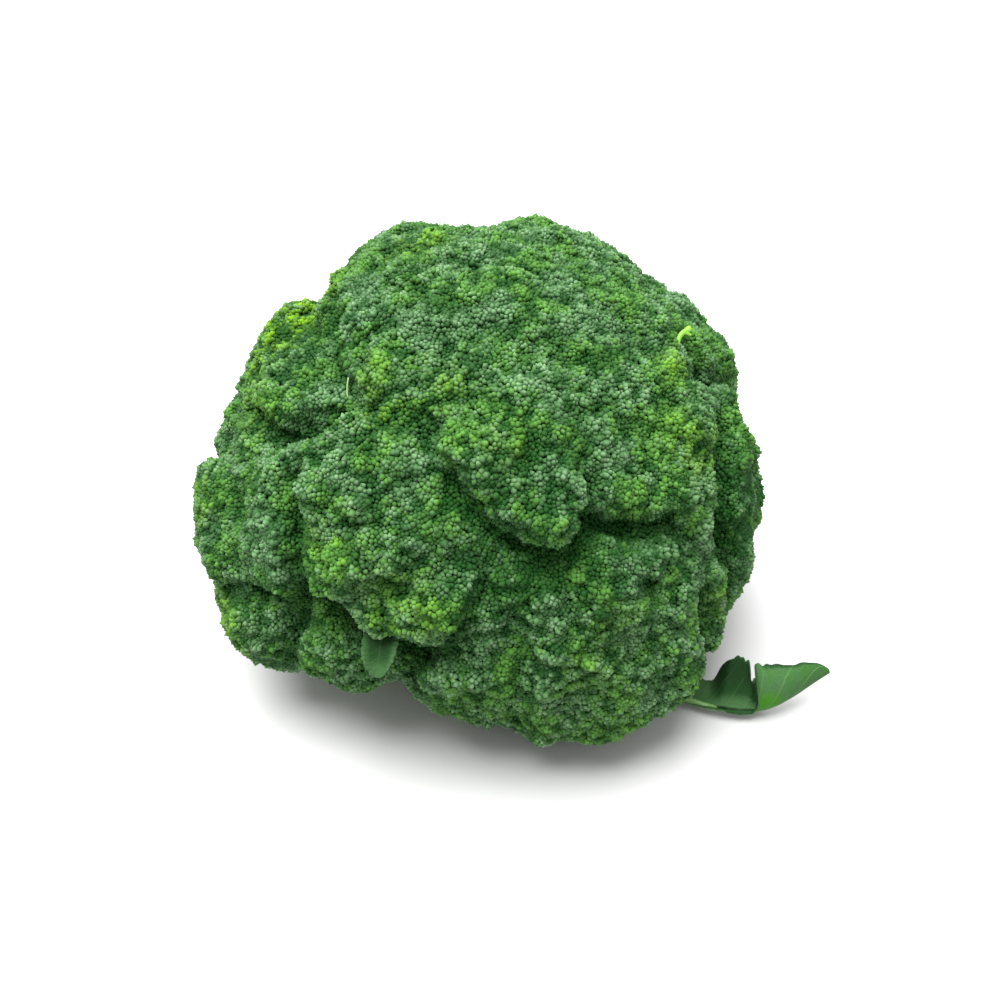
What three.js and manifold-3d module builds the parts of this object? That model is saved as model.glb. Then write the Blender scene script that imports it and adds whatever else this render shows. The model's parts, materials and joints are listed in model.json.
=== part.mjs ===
// A head of broccoli, cut and trimmed, standing crown up on its cut stem.
// Millimetres, +Z up, front of the head towards -Y. The origin is the middle of the
// cut face of the stem, which is the flat spot that the head stands on.
import * as THREE from "three";
import { ConvexHull } from "three/addons/math/ConvexHull.js";
import { mergeVertices } from "three/addons/utils/BufferGeometryUtils.js";
import Module from "manifold-3d";

const wasm = await Module();
wasm.setup();

// ---- Driving dimensions of the head ----
const HEAD_WIDTH = 180;
const HEAD_DEPTH = 176;
const HEAD_HEIGHT = 127;
const WIDEST_LEVEL = 48; // height of the crown's widest level

// ---- Florets ----
const UNDERSIDE = 0.8; // depth below a floret's middle, over its rise above it
const BASE_DEPTH = 0.72; // where a branch meets the underside, over that depth
const FLORET_GAP = 0.4; // clear space between two neighbouring florets
const BRANCH_GAP = 0.35; // clear space between a floret and its branch
const GROUND_CLEARANCE = 1.5; // lowest point of any floret
const LUMP_PITCH = 14; // from one secondary lump of a floret to the next
const LUMP_REACH = 9.4; // from the top of a lump to where it runs out
const LUMP_RISE = 4.4;
const LUMP_SINK = 2.8; // how far the valleys between lumps lie inside the dome
const LUMP_JITTER = 0.25; // sideways scatter of a lump, as a share of the floret's spread
const BUD_PITCH = 7.4; // from one bud cluster to the next
const BUD_RISE = 1.15; // half the height of a bud cluster over the groove round it
const BUD_JITTER = 0.12; // sideways scatter of a cluster, as a share of the pitch
const OPEN_SHARE = 0.93; // a cluster is in sight if its limits clear this share of the dome
const HIDDEN_SHARE = 6; // one cluster in this many is kept where it is out of sight
const LEAST_SHARE = 0.25; // of the way to a neighbour, where the two can meet
const ROW_SPACING = Math.sqrt(3) / 2; // of close-packed rows, as a share of their pitch

// ---- Stem and branches ----
const STEM_RADIUS = 19;
const STEM_FLUTES = 5;
const STEM_SIDES = 20;
const BRANCH_SIDES = 6;
const BRANCH_ROOT = 6.5; // radius inside the stem
const BRANCH_NECK = 5; // radius halfway along
const BRANCH_FLARE = 0.46; // radius under the floret, over the floret's spread
const BRANCH_FLARE_LIMIT = 11;
const BRANCH_PULL = 0.45; // how far a branch runs square to its floret, over its length
const ROOT_INWARD = 0.12; // a root's distance from the axis, over its floret's
const ROOT_SHARE = 0.55; // a root's height, over that of its floret's underside
const ROOT_LOWEST = 16;
const ROOT_HIGHEST = 46;
const CLEARING_PASSES = 4;

// ---- Leaves ----
const LEAF_THICKNESS = 0.9;
const PETIOLE_SIDES = 6;

// Each floret: its name, the azimuth and elevation that it faces, its spread sideways,
// its rise, and how far it stands proud of the crown's ellipsoid. Azimuth 0 is the
// front and 90 the right-hand side.
const FLORETS = [
  ["floret_top", -20, 74, 42, 20, 0],
  ["floret_top_back_left", -144, 64, 28, 19, 0],
  ["floret_top_back_right", 138, 63, 34, 20, 0],
  ["floret_top_right", 62, 58, 36, 18, -1],
  ["floret_top_left", -50, 46, 31, 17, -5],
  ["floret_shoulder_right", 98, 40, 24, 17, 0],
  ["floret_shoulder_left", -86, 46, 24, 16, -8],
  ["floret_right", 55, 31, 34, 20, 1],
  ["floret_side_right", 84, 2, 25, 17, 0],
  ["floret_side_left_high", -76, 20, 17, 12, -16],
  ["floret_side_left", -61, 3, 27, 18, 0],
  ["floret_front", 11, 41, 31, 21, 3],
  ["floret_front_left", -25, 28, 36, 21, 0],
  ["floret_front_mid", -4, 11, 26, 18, 0],
  ["floret_front_low", 24, -7, 41, 26, 3],
  ["floret_front_low_left", 3, -8, 28, 20, -2],
  ["floret_low_right", 52, -4, 28, 19, 2],
  ["floret_low_left", -47, -14, 19, 13, -2],
  ["floret_low_front_left", -27, -11, 17, 13, -4],
  ["floret_back_high", 178, 38, 40, 20, 0],
  ["floret_back_left_high", -130, 34, 31, 18, -9],
  ["floret_back_right_high", 140, 30, 36, 19, 0],
  ["floret_back", 170, 2, 34, 19, -2],
  ["floret_back_left", -145, 0, 31, 19, -4],
  ["floret_rear_left", -105, 4, 29, 18, -6],
  ["floret_rear_right", 122, 0, 31, 19, -2],
];

// A hollow between florets, laid out as they are, which the small front leaf hangs out of.
const LEAF_HOLLOW = ["leaf_hollow", -17, 5, 9, 12, -1];

const floretGreen = new THREE.MeshStandardMaterial({ color: 0x3f7a35, roughness: 0.8, metalness: 0 });
const stalkGreen = new THREE.MeshStandardMaterial({ color: 0xa9bf7a, roughness: 0.6, metalness: 0 });
const leafGreen = new THREE.MeshStandardMaterial({ color: 0x4d7d45, roughness: 0.6, metalness: 0 });

// ---- Helpers ----

// A repeatable stream of numbers from 0 to 1.
function seeded(seed) {
  let state = seed;
  return () => {
    state = (state + 0x6d2b79f5) | 0;
    let mixed = Math.imul(state ^ (state >>> 15), 1 | state);
    mixed = (mixed + Math.imul(mixed ^ (mixed >>> 7), 61 | mixed)) ^ mixed;
    return ((mixed ^ (mixed >>> 14)) >>> 0) / 4294967296;
  };
}

function facing(azimuth, elevation) {
  const turn = THREE.MathUtils.degToRad(azimuth);
  const lift = THREE.MathUtils.degToRad(elevation);
  const level = Math.cos(lift);
  return new THREE.Vector3(Math.sin(turn) * level, -Math.cos(turn) * level, Math.sin(lift));
}

// Evenly spread unit directions, by the golden angle, turned to face an axis.
function spiralDirections(count, axis, flatten, jitter, random) {
  const golden = Math.PI * (3 - Math.sqrt(5));
  const turn = new THREE.Quaternion().setFromUnitVectors(new THREE.Vector3(0, 0, 1), axis);
  const directions = [];
  for (let i = 0; i < count; i++) {
    const height = 1 - (2 * (i + 0.5)) / count;
    const around = i * golden;
    const level = Math.sqrt(1 - height * height);
    const direction = new THREE.Vector3(
      Math.cos(around) * level + (random() - 0.5) * jitter,
      Math.sin(around) * level + (random() - 0.5) * jitter,
      height * flatten,
    );
    directions.push(direction.normalize().applyQuaternion(turn));
  }
  return directions;
}

function geometryFrom(points, triangles) {
  const geometry = new THREE.BufferGeometry();
  geometry.setAttribute("position", new THREE.Float32BufferAttribute(points.flatMap((p) => p.toArray()), 3));
  geometry.setIndex(triangles.flat());
  return geometry;
}

function toManifold(geometry) {
  const bare = geometry.clone();
  bare.deleteAttribute("normal");
  bare.deleteAttribute("uv");
  const merged = mergeVertices(bare, 1e-4);
  const vertProperties = new Float32Array(merged.getAttribute("position").array);
  const triVerts = new Uint32Array(merged.getIndex().array);
  return new wasm.Manifold(new wasm.Mesh({ numProp: 3, vertProperties, triVerts }));
}

function fromManifold(solid) {
  const mesh = solid.getMesh();
  const geometry = new THREE.BufferGeometry();
  geometry.setAttribute("position", new THREE.Float32BufferAttribute(mesh.vertProperties, 3));
  geometry.setIndex(new THREE.Uint32BufferAttribute(mesh.triVerts, 1));
  return geometry;
}

function fuse(geometries) {
  const solids = geometries.map(toManifold);
  return fromManifold(solids.reduce((whole, next) => whole.add(next)));
}

// A closed skin over rings of points that run round an axis, with a fan on each end.
function loft(rings) {
  const sides = rings[0].length;
  const points = rings.flat();
  const triangles = [];
  for (let r = 0; r + 1 < rings.length; r++) {
    for (let s = 0; s < sides; s++) {
      const here = r * sides + s;
      const beside = r * sides + ((s + 1) % sides);
      triangles.push([here, beside, beside + sides]);
      triangles.push([here, beside + sides, here + sides]);
    }
  }
  const middle = (ring) => ring.reduce((sum, p) => sum.add(p), new THREE.Vector3()).divideScalar(sides);
  const first = points.push(middle(rings[0])) - 1;
  const last = points.push(middle(rings[rings.length - 1])) - 1;
  const lastRing = (rings.length - 1) * sides;
  for (let s = 0; s < sides; s++) {
    const next = (s + 1) % sides;
    triangles.push([first, next, s]);
    triangles.push([last, lastRing + s, lastRing + next]);
  }
  return geometryFrom(points, triangles);
}

// A ring of points round a centre, square to an axis, counterclockwise seen from its tip.
function ringAround(centre, axis, radius, sides) {
  const turn = new THREE.Quaternion().setFromUnitVectors(new THREE.Vector3(0, 0, 1), axis);
  const ring = [];
  for (let s = 0; s < sides; s++) {
    const angle = (2 * Math.PI * s) / sides;
    const spoke = new THREE.Vector3(Math.cos(angle) * radius, Math.sin(angle) * radius, 0);
    ring.push(spoke.applyQuaternion(turn).add(centre));
  }
  return ring;
}

// ---- Florets: one domed body of fused bud clusters each ----

function layOut([name, azimuth, elevation, spread, rise, proud], index) {
  const axis = facing(azimuth, elevation);
  const half = new THREE.Vector3(HEAD_WIDTH / 2, HEAD_DEPTH / 2, HEAD_HEIGHT - WIDEST_LEVEL);
  const scaled = axis.clone().multiply(half);
  const onCrown = scaled.clone().multiply(half).divideScalar(scaled.length());
  const centre = onCrown.add(new THREE.Vector3(0, 0, WIDEST_LEVEL)).addScaledVector(axis, proud - rise);
  return { name, axis, spread, rise, centre, seed: 101 + 37 * index };
}

// The distance from a floret's middle to its smooth dome along a direction.
function domeRadius(floret, direction) {
  const along = direction.dot(floret.axis);
  const depth = along < 0 ? floret.rise * UNDERSIDE : floret.rise;
  return 1 / Math.sqrt((1 - along * along) / floret.spread ** 2 + (along / depth) ** 2);
}

// Flat limits of a floret: neighbours, its branch and the ground. Each is a direction and
// a distance from the floret's middle.
function limitsOf(floret, all) {
  const limits = [];
  for (const other of [...all, leafHollow]) {
    const towards = other.centre.clone().sub(floret.centre);
    const distance = towards.length();
    if (other === floret || distance > floret.spread + other.spread + FLORET_GAP) continue;
    towards.divideScalar(distance);
    const own = domeRadius(floret, towards);
    const theirs = domeRadius(other, towards.clone().negate());
    const meet = (distance ** 2 + own ** 2 - theirs ** 2) / (2 * distance);
    const kept = THREE.MathUtils.clamp(meet, LEAST_SHARE * distance, (1 - LEAST_SHARE) * distance);
    limits.push([towards, kept - FLORET_GAP / 2]);
  }
  limits.push([floret.axis.clone().negate(), baseDepth(floret)]);
  limits.push([new THREE.Vector3(0, 0, -1), floret.centre.z - GROUND_CLEARANCE]);
  return limits;
}

function baseDepth(floret) {
  return floret.rise * UNDERSIDE * BASE_DEPTH;
}

function nearestLimit(limits, direction) {
  let nearest = Infinity;
  for (const [towards, distance] of limits) {
    const along = direction.dot(towards);
    if (along > 1e-6) nearest = Math.min(nearest, distance / along);
  }
  return nearest;
}

// How many points a pitch apart cover a floret all round.
function countAt(pitch, { spread, rise }) {
  const area = 2 * Math.PI * spread * (spread + rise);
  return Math.round(area / (ROW_SPACING * pitch ** 2));
}

function floretGeometry(floret, all) {
  const random = seeded(floret.seed);
  const limits = limitsOf(floret, all);
  const flatten = floret.rise / floret.spread;
  const lumpCount = countAt(LUMP_PITCH, floret);
  const lumps = spiralDirections(lumpCount, floret.axis, flatten, LUMP_JITTER, random).map((direction) =>
    direction.multiplyScalar(domeRadius(floret, direction)),
  );
  const surface = (direction, rise) => {
    const dome = domeRadius(floret, direction);
    const point = direction.clone().multiplyScalar(dome);
    const nearest = Math.min(...lumps.map((lump) => lump.distanceTo(point)));
    const lump = Math.max(0, 1 - (nearest / LUMP_REACH) ** 2) * LUMP_RISE - LUMP_SINK;
    return Math.min(dome + lump + rise, nearestLimit(limits, direction));
  };

  const jitter = (BUD_JITTER * BUD_PITCH) / floret.spread;
  const directions = spiralDirections(countAt(BUD_PITCH, floret), floret.axis, flatten, jitter, random);
  const kept = directions.filter((direction, i) => {
    const open = nearestLimit(limits, direction) > OPEN_SHARE * domeRadius(floret, direction);
    return open || i % HIDDEN_SHARE === 0;
  });

  // Peaks at the clusters, valleys at the middle of each triangle between three of them.
  const hull = new ConvexHull().setFromPoints(kept);
  const points = kept.map((direction) => direction.clone().multiplyScalar(surface(direction, BUD_RISE)));
  const peak = new Map(kept.map((direction, i) => [direction, i]));
  const valley = new Map();
  for (const face of hull.faces) {
    const corners = [face.edge, face.edge.next, face.edge.prev].map((edge) => edge.head().point);
    const middle = corners.reduce((sum, corner) => sum.add(corner), new THREE.Vector3()).normalize();
    valley.set(face, points.push(middle.clone().multiplyScalar(surface(middle, -BUD_RISE))) - 1);
  }
  const triangles = [];
  for (const face of hull.faces) {
    for (const edge of [face.edge, face.edge.next, face.edge.prev]) {
      triangles.push([peak.get(edge.tail().point), valley.get(edge.twin.face), valley.get(face)]);
    }
  }
  points.forEach((point) => point.add(floret.centre));
  return geometryFrom(points, triangles);
}

// ---- Stalk: the cut main stem with the branches that grow from it ----

function stemGeometry() {
  const levels = [
    // height, radius over the stem's radius, depth of the flutes over the radius
    [0, 0.96, 0.05],
    [1.5, 1, 0.05],
    [16, 0.95, 0.06],
    [30, 1.05, 0.08],
    [46, 0.9, 0.08],
    [60, 0.5, 0.04],
    [66, 0.2, 0],
  ];
  const rings = levels.map(([height, share, flute]) => {
    const ring = [];
    for (let s = 0; s < STEM_SIDES; s++) {
      const angle = (2 * Math.PI * s) / STEM_SIDES;
      const radius = STEM_RADIUS * (share + flute * Math.cos(STEM_FLUTES * angle));
      ring.push(new THREE.Vector3(Math.cos(angle) * radius, Math.sin(angle) * radius, height));
    }
    return ring;
  });
  return loft(rings);
}

function branchGeometry(floret, all) {
  const top = floret.centre.clone().addScaledVector(floret.axis, -baseDepth(floret) - BRANCH_GAP);
  const rootHeight = THREE.MathUtils.clamp(ROOT_SHARE * top.z, ROOT_LOWEST, ROOT_HIGHEST);
  const root = new THREE.Vector3(ROOT_INWARD * top.x, ROOT_INWARD * top.y, rootHeight);
  const pull = BRANCH_PULL * top.distanceTo(root);
  const bend = top.clone().addScaledVector(floret.axis, -pull);
  const curve = new THREE.QuadraticBezierCurve3(root, bend, top);
  const flare = Math.min(BRANCH_FLARE * floret.spread, BRANCH_FLARE_LIMIT);
  const steps = [
    // share of the way along, radius
    [0, BRANCH_ROOT],
    [0.5, BRANCH_NECK],
    [0.82, 0.8 * flare],
    [1, flare],
  ];
  const limits = limitsOf(floret, all);
  const rings = steps.map(([along, radius]) => {
    const axis = along < 1 ? curve.getTangent(along) : floret.axis;
    const ring = ringAround(curve.getPoint(along), axis, radius, BRANCH_SIDES);
    if (along > 0) ring.forEach((point) => bendClear(point, floret, limits));
    return ring;
  });
  return loft(rings);
}

// Moves a point of a branch clear of the neighbouring florets and under its own.
function bendClear(point, floret, limits) {
  const neighbours = limits.slice(0, -2);
  const under = [floret.axis, -baseDepth(floret)];
  for (let pass = 0; pass < CLEARING_PASSES; pass++) {
    for (const [towards, distance] of [...neighbours, under]) {
      const beyond = point.clone().sub(floret.centre).dot(towards) - distance + BRANCH_GAP;
      if (beyond > 0) point.addScaledVector(towards, -beyond);
    }
  }
}

function stalkGeometry(florets) {
  return fuse([stemGeometry(), ...florets.map((floret) => branchGeometry(floret, florets))]);
}

// ---- Leaves: a blade with waved, lobed edges on a petiole ----

// A blade as two halves that fold up from a midrib. Each half has its own fold, in degrees
// from level, and width along the leaf; waves lift and drop its edge.
function bladeGeometry({ spine, from, steps, strips, halves, tipWidth }) {
  const rows = [];
  for (let i = 0; i <= steps; i++) {
    const share = i / steps;
    const along = from + (1 - from) * share;
    const middle = spine.getPoint(along);
    const tangent = spine.getTangent(along);
    const side = new THREE.Vector3(0, 0, 1).cross(tangent).normalize();
    const up = tangent.clone().cross(side).normalize();
    const row = [];
    for (let j = -strips; j <= strips; j++) {
      const half = halves[j < 0 ? 0 : 1];
      const out = Math.abs(j) / strips;
      const width = Math.max(tipWidth, half.width(share));
      const fold = THREE.MathUtils.degToRad(half.fold(share) * (0.6 + 0.4 * out));
      const wave = half.wave * out * out * Math.sin(2 * Math.PI * half.waves * share + half.phase);
      const reach = Math.sign(j) * out * width;
      const point = middle.clone().addScaledVector(side, reach * Math.cos(fold));
      row.push(point.addScaledVector(up, out * width * Math.sin(fold) + wave));
    }
    rows.push(row);
  }
  return thicken(rows, LEAF_THICKNESS);
}

// A closed plate from a grid of points, the same thickness all over. Both faces are cut
// into triangles alike.
function thicken(rows, thickness) {
  const across = rows[0].length;
  const count = rows.length * across;
  const normals = rows.map((row, i) =>
    row.map((point, j) => {
      const ahead = rows[Math.min(i + 1, rows.length - 1)][j].clone().sub(rows[Math.max(i - 1, 0)][j]);
      const aside = row[Math.min(j + 1, across - 1)].clone().sub(row[Math.max(j - 1, 0)]);
      return ahead.cross(aside).normalize();
    }),
  );
  const shifted = (amount) =>
    rows.flatMap((row, i) => row.map((point, j) => point.clone().addScaledVector(normals[i][j], amount)));
  const points = [...shifted(thickness / 2), ...shifted(-thickness / 2)];
  const triangles = [];
  const at = (i, j) => i * across + j;
  for (let i = 0; i + 1 < rows.length; i++) {
    for (let j = 0; j + 1 < across; j++) {
      const corners = [at(i, j), at(i + 1, j), at(i + 1, j + 1), at(i, j + 1)];
      triangles.push([corners[0], corners[1], corners[2]]);
      triangles.push([corners[0], corners[2], corners[3]]);
      triangles.push([count + corners[0], count + corners[2], count + corners[1]]);
      triangles.push([count + corners[0], count + corners[3], count + corners[2]]);
    }
  }
  const rim = [];
  for (let j = 0; j + 1 < across; j++) rim.push([at(0, j + 1), at(0, j)]);
  for (let i = 0; i + 1 < rows.length; i++) rim.push([at(i, 0), at(i + 1, 0)]);
  for (let j = 0; j + 1 < across; j++) rim.push([at(rows.length - 1, j), at(rows.length - 1, j + 1)]);
  for (let i = rows.length - 1; i > 0; i--) rim.push([at(i, across - 1), at(i - 1, across - 1)]);
  for (const [a, b] of rim) {
    triangles.push([b, a, count + a]);
    triangles.push([b, count + a, count + b]);
  }
  return geometryFrom(points, triangles);
}

// A tapering stalk along the first stretch of a leaf's spine.
function petioleGeometry(spine, until, startRadius, endRadius) {
  const rings = [];
  const steps = 8;
  for (let i = 0; i <= steps; i++) {
    const share = i / steps;
    const radius = THREE.MathUtils.lerp(startRadius, endRadius, share);
    const along = share * until;
    rings.push(ringAround(spine.getPoint(along), spine.getTangent(along), radius, PETIOLE_SIDES));
  }
  return loft(rings);
}

// Rises from 0 to 1 and falls back, either side of a middle.
function hump(share, middle, reach) {
  return Math.max(0, 1 - ((share - middle) / reach) ** 2);
}

function rightLeafGeometry() {
  const spine = new THREE.CatmullRomCurve3([
    new THREE.Vector3(16.5, -14.5, 5),
    new THREE.Vector3(34, -33, 3.6),
    new THREE.Vector3(54, -50, 3),
    new THREE.Vector3(74, -57, 2.4),
    new THREE.Vector3(90, -55.5, 4.5),
    new THREE.Vector3(105.5, -51, 12),
  ]);
  // Two lobes stand up along the far edge. Along the near edge a flat lobe is followed
  // by one that folds up beside them, so that the tip is a keel.
  const farHalf = {
    width: (share) => 5 * (1 - share) + 11 * hump(share, 0.5, 0.17) + 8 * hump(share, 0.76, 0.22),
    fold: (share) => 30 + 42 * Math.min(1, share * 1.8),
    wave: 1.1,
    waves: 4.5,
    phase: 0.4,
  };
  const nearHalf = {
    width: (share) =>
      share < 0.6 ? 4.5 * Math.sin((Math.PI * share) / 0.64) ** 0.7 : 25 * (1 - share) ** 0.85,
    fold: (share) => 5 + 75 * THREE.MathUtils.smoothstep(share, 0.5, 0.64),
    wave: 0.6,
    waves: 3,
    phase: 2,
  };
  const halves = [nearHalf, farHalf];
  const blade = bladeGeometry({ spine, from: 0.42, steps: 22, strips: 3, halves, tipWidth: 0.8 });
  return fuse([blade, petioleGeometry(spine, 0.6, 2.6, 1.1)]);
}

function frontLeafGeometry() {
  const spine = new THREE.CatmullRomCurve3([
    new THREE.Vector3(-10.5, -18, 8),
    new THREE.Vector3(-14, -32, 22),
    new THREE.Vector3(-18, -49, 40),
    new THREE.Vector3(-20.8, -64, 50),
    new THREE.Vector3(-22.3, -77, 50.5),
    new THREE.Vector3(-23.2, -84, 43),
  ]);
  const half = {
    width: (share) => 5.3 * Math.sin(Math.PI * Math.min(1, 0.1 + share * 0.9)) ** 0.6,
    fold: () => 12,
    wave: 0.4,
    waves: 1.5,
    phase: 1,
  };
  const halves = [half, half];
  const blade = bladeGeometry({ spine, from: 0.72, steps: 12, strips: 2, halves, tipWidth: 0.8 });
  return fuse([blade, petioleGeometry(spine, 0.8, 1.9, 0.9)]);
}

// ---- The head ----

function named(name, geometry, material) {
  const mesh = new THREE.Mesh(geometry, material);
  mesh.name = name;
  return mesh;
}

const head = new THREE.Group();
const florets = FLORETS.map(layOut);
const leafHollow = layOut(LEAF_HOLLOW);
for (const floret of florets) head.add(named(floret.name, floretGeometry(floret, florets), floretGreen));
head.add(named("stalk", stalkGeometry(florets), stalkGreen));
head.add(named("leaf_right", rightLeafGeometry(), leafGreen));
head.add(named("leaf_front_left", frontLeafGeometry(), leafGreen));

export default head;
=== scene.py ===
"""A head of broccoli: fine buds on every floret, a forked stalk and veined leaves.

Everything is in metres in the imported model's frame: +Z up, the front of the head
towards -Y, and the origin at the middle of the stem's cut face.
"""

import json
import math

import bmesh
import bpy
import numpy as np
from mathutils import Matrix, Quaternion, Vector
from mathutils.bvhtree import BVHTree
from mathutils.kdtree import KDTree

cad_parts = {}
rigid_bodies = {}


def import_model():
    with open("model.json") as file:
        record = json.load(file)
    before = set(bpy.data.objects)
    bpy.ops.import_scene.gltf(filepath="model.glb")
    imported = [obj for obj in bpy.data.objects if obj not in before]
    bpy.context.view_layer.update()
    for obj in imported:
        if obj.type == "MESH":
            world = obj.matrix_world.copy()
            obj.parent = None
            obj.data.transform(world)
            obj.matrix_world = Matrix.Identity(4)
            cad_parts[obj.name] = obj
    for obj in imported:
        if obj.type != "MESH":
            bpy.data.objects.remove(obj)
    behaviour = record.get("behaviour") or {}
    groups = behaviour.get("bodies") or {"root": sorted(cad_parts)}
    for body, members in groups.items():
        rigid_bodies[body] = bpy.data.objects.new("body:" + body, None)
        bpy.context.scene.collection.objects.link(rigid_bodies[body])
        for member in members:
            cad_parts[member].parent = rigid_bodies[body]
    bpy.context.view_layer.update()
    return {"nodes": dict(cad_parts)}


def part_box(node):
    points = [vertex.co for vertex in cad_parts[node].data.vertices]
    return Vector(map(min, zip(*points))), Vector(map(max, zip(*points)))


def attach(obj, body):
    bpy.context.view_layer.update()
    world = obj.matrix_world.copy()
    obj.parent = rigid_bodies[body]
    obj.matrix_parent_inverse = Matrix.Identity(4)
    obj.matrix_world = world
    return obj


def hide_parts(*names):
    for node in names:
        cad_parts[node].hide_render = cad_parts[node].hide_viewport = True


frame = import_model()

MM = 0.001
SEED = 7

# ---- The camera ----
CAMERA_PLACE = Vector((7.5, -250.8, 219.4)) * MM
CAMERA_TARGET = Vector((7.5, 0.0, 37.2)) * MM
FOCAL_LENGTH = 34.2
SENSOR_WIDTH = 36.0

# ---- The crown's skin, which the buds' middles lie on ----
HEAD_HEART = Vector((0.0, 0.0, 40.0)) * MM  # the place that directions are taken from
STEM_HEART = Vector((0.0, 0.0, 25.0)) * MM  # the place that the branches spread from
FAR_OUT = 200 * MM  # outside the crown, whatever the direction
GAP_CLOSING = 0.5 * MM  # each floret's solid is swelled by this, so that they fuse
CROWN_VOXEL = 1.9 * MM
SKIN_SINK = 0.9 * MM  # how far the skin lies inside the swelled solids
BODY_SINK = 1.2 * MM  # how far the body between the buds lies inside the skin
FILL_STEPS = 30
FILL_SHARE = 0.75  # how much of each gap between florets is filled
LUMP_SIZE = 14 * MM
LUMP_RISE = 1.2 * MM
CLUMP_SIZE = 3.9 * MM
CLUMP_RISE = 0.85 * MM
GAP_PITCH = 4.0 * MM  # distance between the small gaps among the buds, where they sink and are painted with shade
GAP_DEPTH = 0.35 * MM
EASE_STEPS = 2  # rounds of smoothing after the creases are opened
FOLD_STEPS = 12
FOLD_ANGLE = math.radians(50)  # edges sharper than this are smoothed again
WAVER_SIZE = 0.65  # size of the waver in the valleys between mounds, over the mounds' size
WAVER_REACH = 0.35  # how far it shifts them, over the mounds' size
VALLEY_SOFTNESS = 0.15
SWELL_ROUNDS = 10  # rounds of smoothing that give the level which swell is measured from
SWELL_RANGE = (-2.2 * MM, 0.7 * MM)  # a full hollow, and a full swelling
OUTER_HEIGHT = (35 * MM, 52 * MM)  # between these heights all skin comes to face out
CREASE_ENDS = (0.06, 0.94)  # a crease is as deep at its ends as at these shares of its length
CREASE_TAPER = 0.6
LIP_PLACE = 2.2  # the middle of a crease's lip, in half widths from its bottom
LIP_WIDTH = 1.6
DEEPEST = 11 * MM  # the most that creases and pits sink the skin
HIGHEST = 4 * MM  # the most that lips lift it
FULL_CREASE = 6 * MM  # sunk this far, a spot counts as the bottom of a crease
RAY_START = 0.05 * MM  # rays into the crown start this far under its skin
THIN_REACH = 4 * BODY_SINK  # the crown counts as thin below this thickness
THIN_SHARE = 0.3  # how far the body sinks where it is thin, over the thickness
PALE_START = 0.05  # outward turn at which the body starts to be pale
PALE_SPAN = 0.4
PALE_FADE = 6  # how soon painted shade makes it dark again in a crease

# Directions are an azimuth and an elevation from the head's heart. Azimuth 0 is the front
# of the head and 90 its right-hand side.
# Deep creases between lobes: depth, half width, rise of the upper lip, and directions.
CREASES = [
    (9.5, 3.6, 2.4, [(-3, 37), (0, 34), (3, 30), (8, 26), (14, 24), (19, 25), (22, 29)]),
    (8.0, 2.8, 1.4, [(21, 30), (24, 28), (29, 26), (34, 24), (39, 24), (42, 19)]),
    (9.0, 3.2, 0.0, [(-38, 38), (-37, 34), (-33, 25), (-32, 18), (-31, 12), (-35, 4), (-38, -8)]),
    (9.5, 3.6, 2.5, [(-30, 12), (-25, 10), (-21, 7), (-16, 5), (-11, 5), (-4, 7), (0, 12)]),
    (7.0, 2.8, 0.0, [(2, 27), (3, 21), (2, 17), (-1, 12), (-5, 6)]),
    (9.0, 3.4, 0.0, [(74, 46), (72, 39), (68, 34), (61, 30), (55, 26), (51, 19), (53, 9), (54, -4)]),
    (6.0, 3.0, 0.0, [(44, 10), (45, 3), (46, -6)]),
    (4.0, 2.4, 0.5, [(56, 44), (64, 42), (74, 37), (86, 30)]),
    (3.5, 2.2, 0.0, [(22, 42), (23, 36), (23, 31)]),
    (6.0, 3.0, 1.0, [(-70, 34), (-60, 37), (-51, 36), (-43, 39), (-36, 43), (-29, 47)]),
    (4.5, 2.4, 0.5, [(-90, 63), (-76, 62), (-64, 62), (-54, 59), (-43, 54), (-34, 50)]),
    (5.0, 2.8, 0.0, [(-60, 2), (-51, 4), (-44, 6), (-36, 10)]),
    (3.5, 2.4, 0.0, [(-14, 46), (-9, 43), (-6, 39)]),
    (9.0, 3.4, 0.0, [(-13, 7), (-12, 1), (-12, -8), (-14, -22)]),
    (4.5, 2.8, 0.0, [(-112, 62), (-104, 52), (-100, 40), (-101, 28)]),
    (4.5, 2.8, 0.0, [(120, 60), (124, 40), (118, 20), (105, 5)]),
    (4.5, 2.8, 0.5, [(155, 18), (170, 20), (190, 17), (210, 20)]),
    (4.5, 2.8, 0.0, [(215, 60), (222, 42), (212, 24), (214, 2)]),
    (4.5, 2.8, 0.5, [(130, 22), (142, 19), (156, 20)]),
    (4.5, 2.8, 0.5, [(225, 20), (240, 22), (262, 16)]),
]
# Lobes that stand out further, or less far, than their florets: direction, rise and reach.
LOBES = [
    ((-47, -4), 5.0, 14),
    ((-33, -10), 3.0, 12),
    ((-22, -12), 1.5, 9),
    ((5, -18), 3.0, 14),
    ((25, -14), 4.5, 14),
    ((39, -9), 7.5, 14),
    ((87, 16), -5.5, 11),
    ((-120, 54), -4.5, 18),
    ((179, 60), -3.0, 14),
    ((-98, 24), -3.0, 9),
    ((-70, 12), -2.5, 12),
    ((-64, 1), -2.0, 10),
    ((-92, 51), 4.0, 10),
    ((-80, 48), 1.5, 9),
]
# Rounds of branches that stand in gaps between the florets: middle and radius.
BRANCH_ROUNDS = [
    ((-19, -68, 57), 12.5),
]
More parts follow.
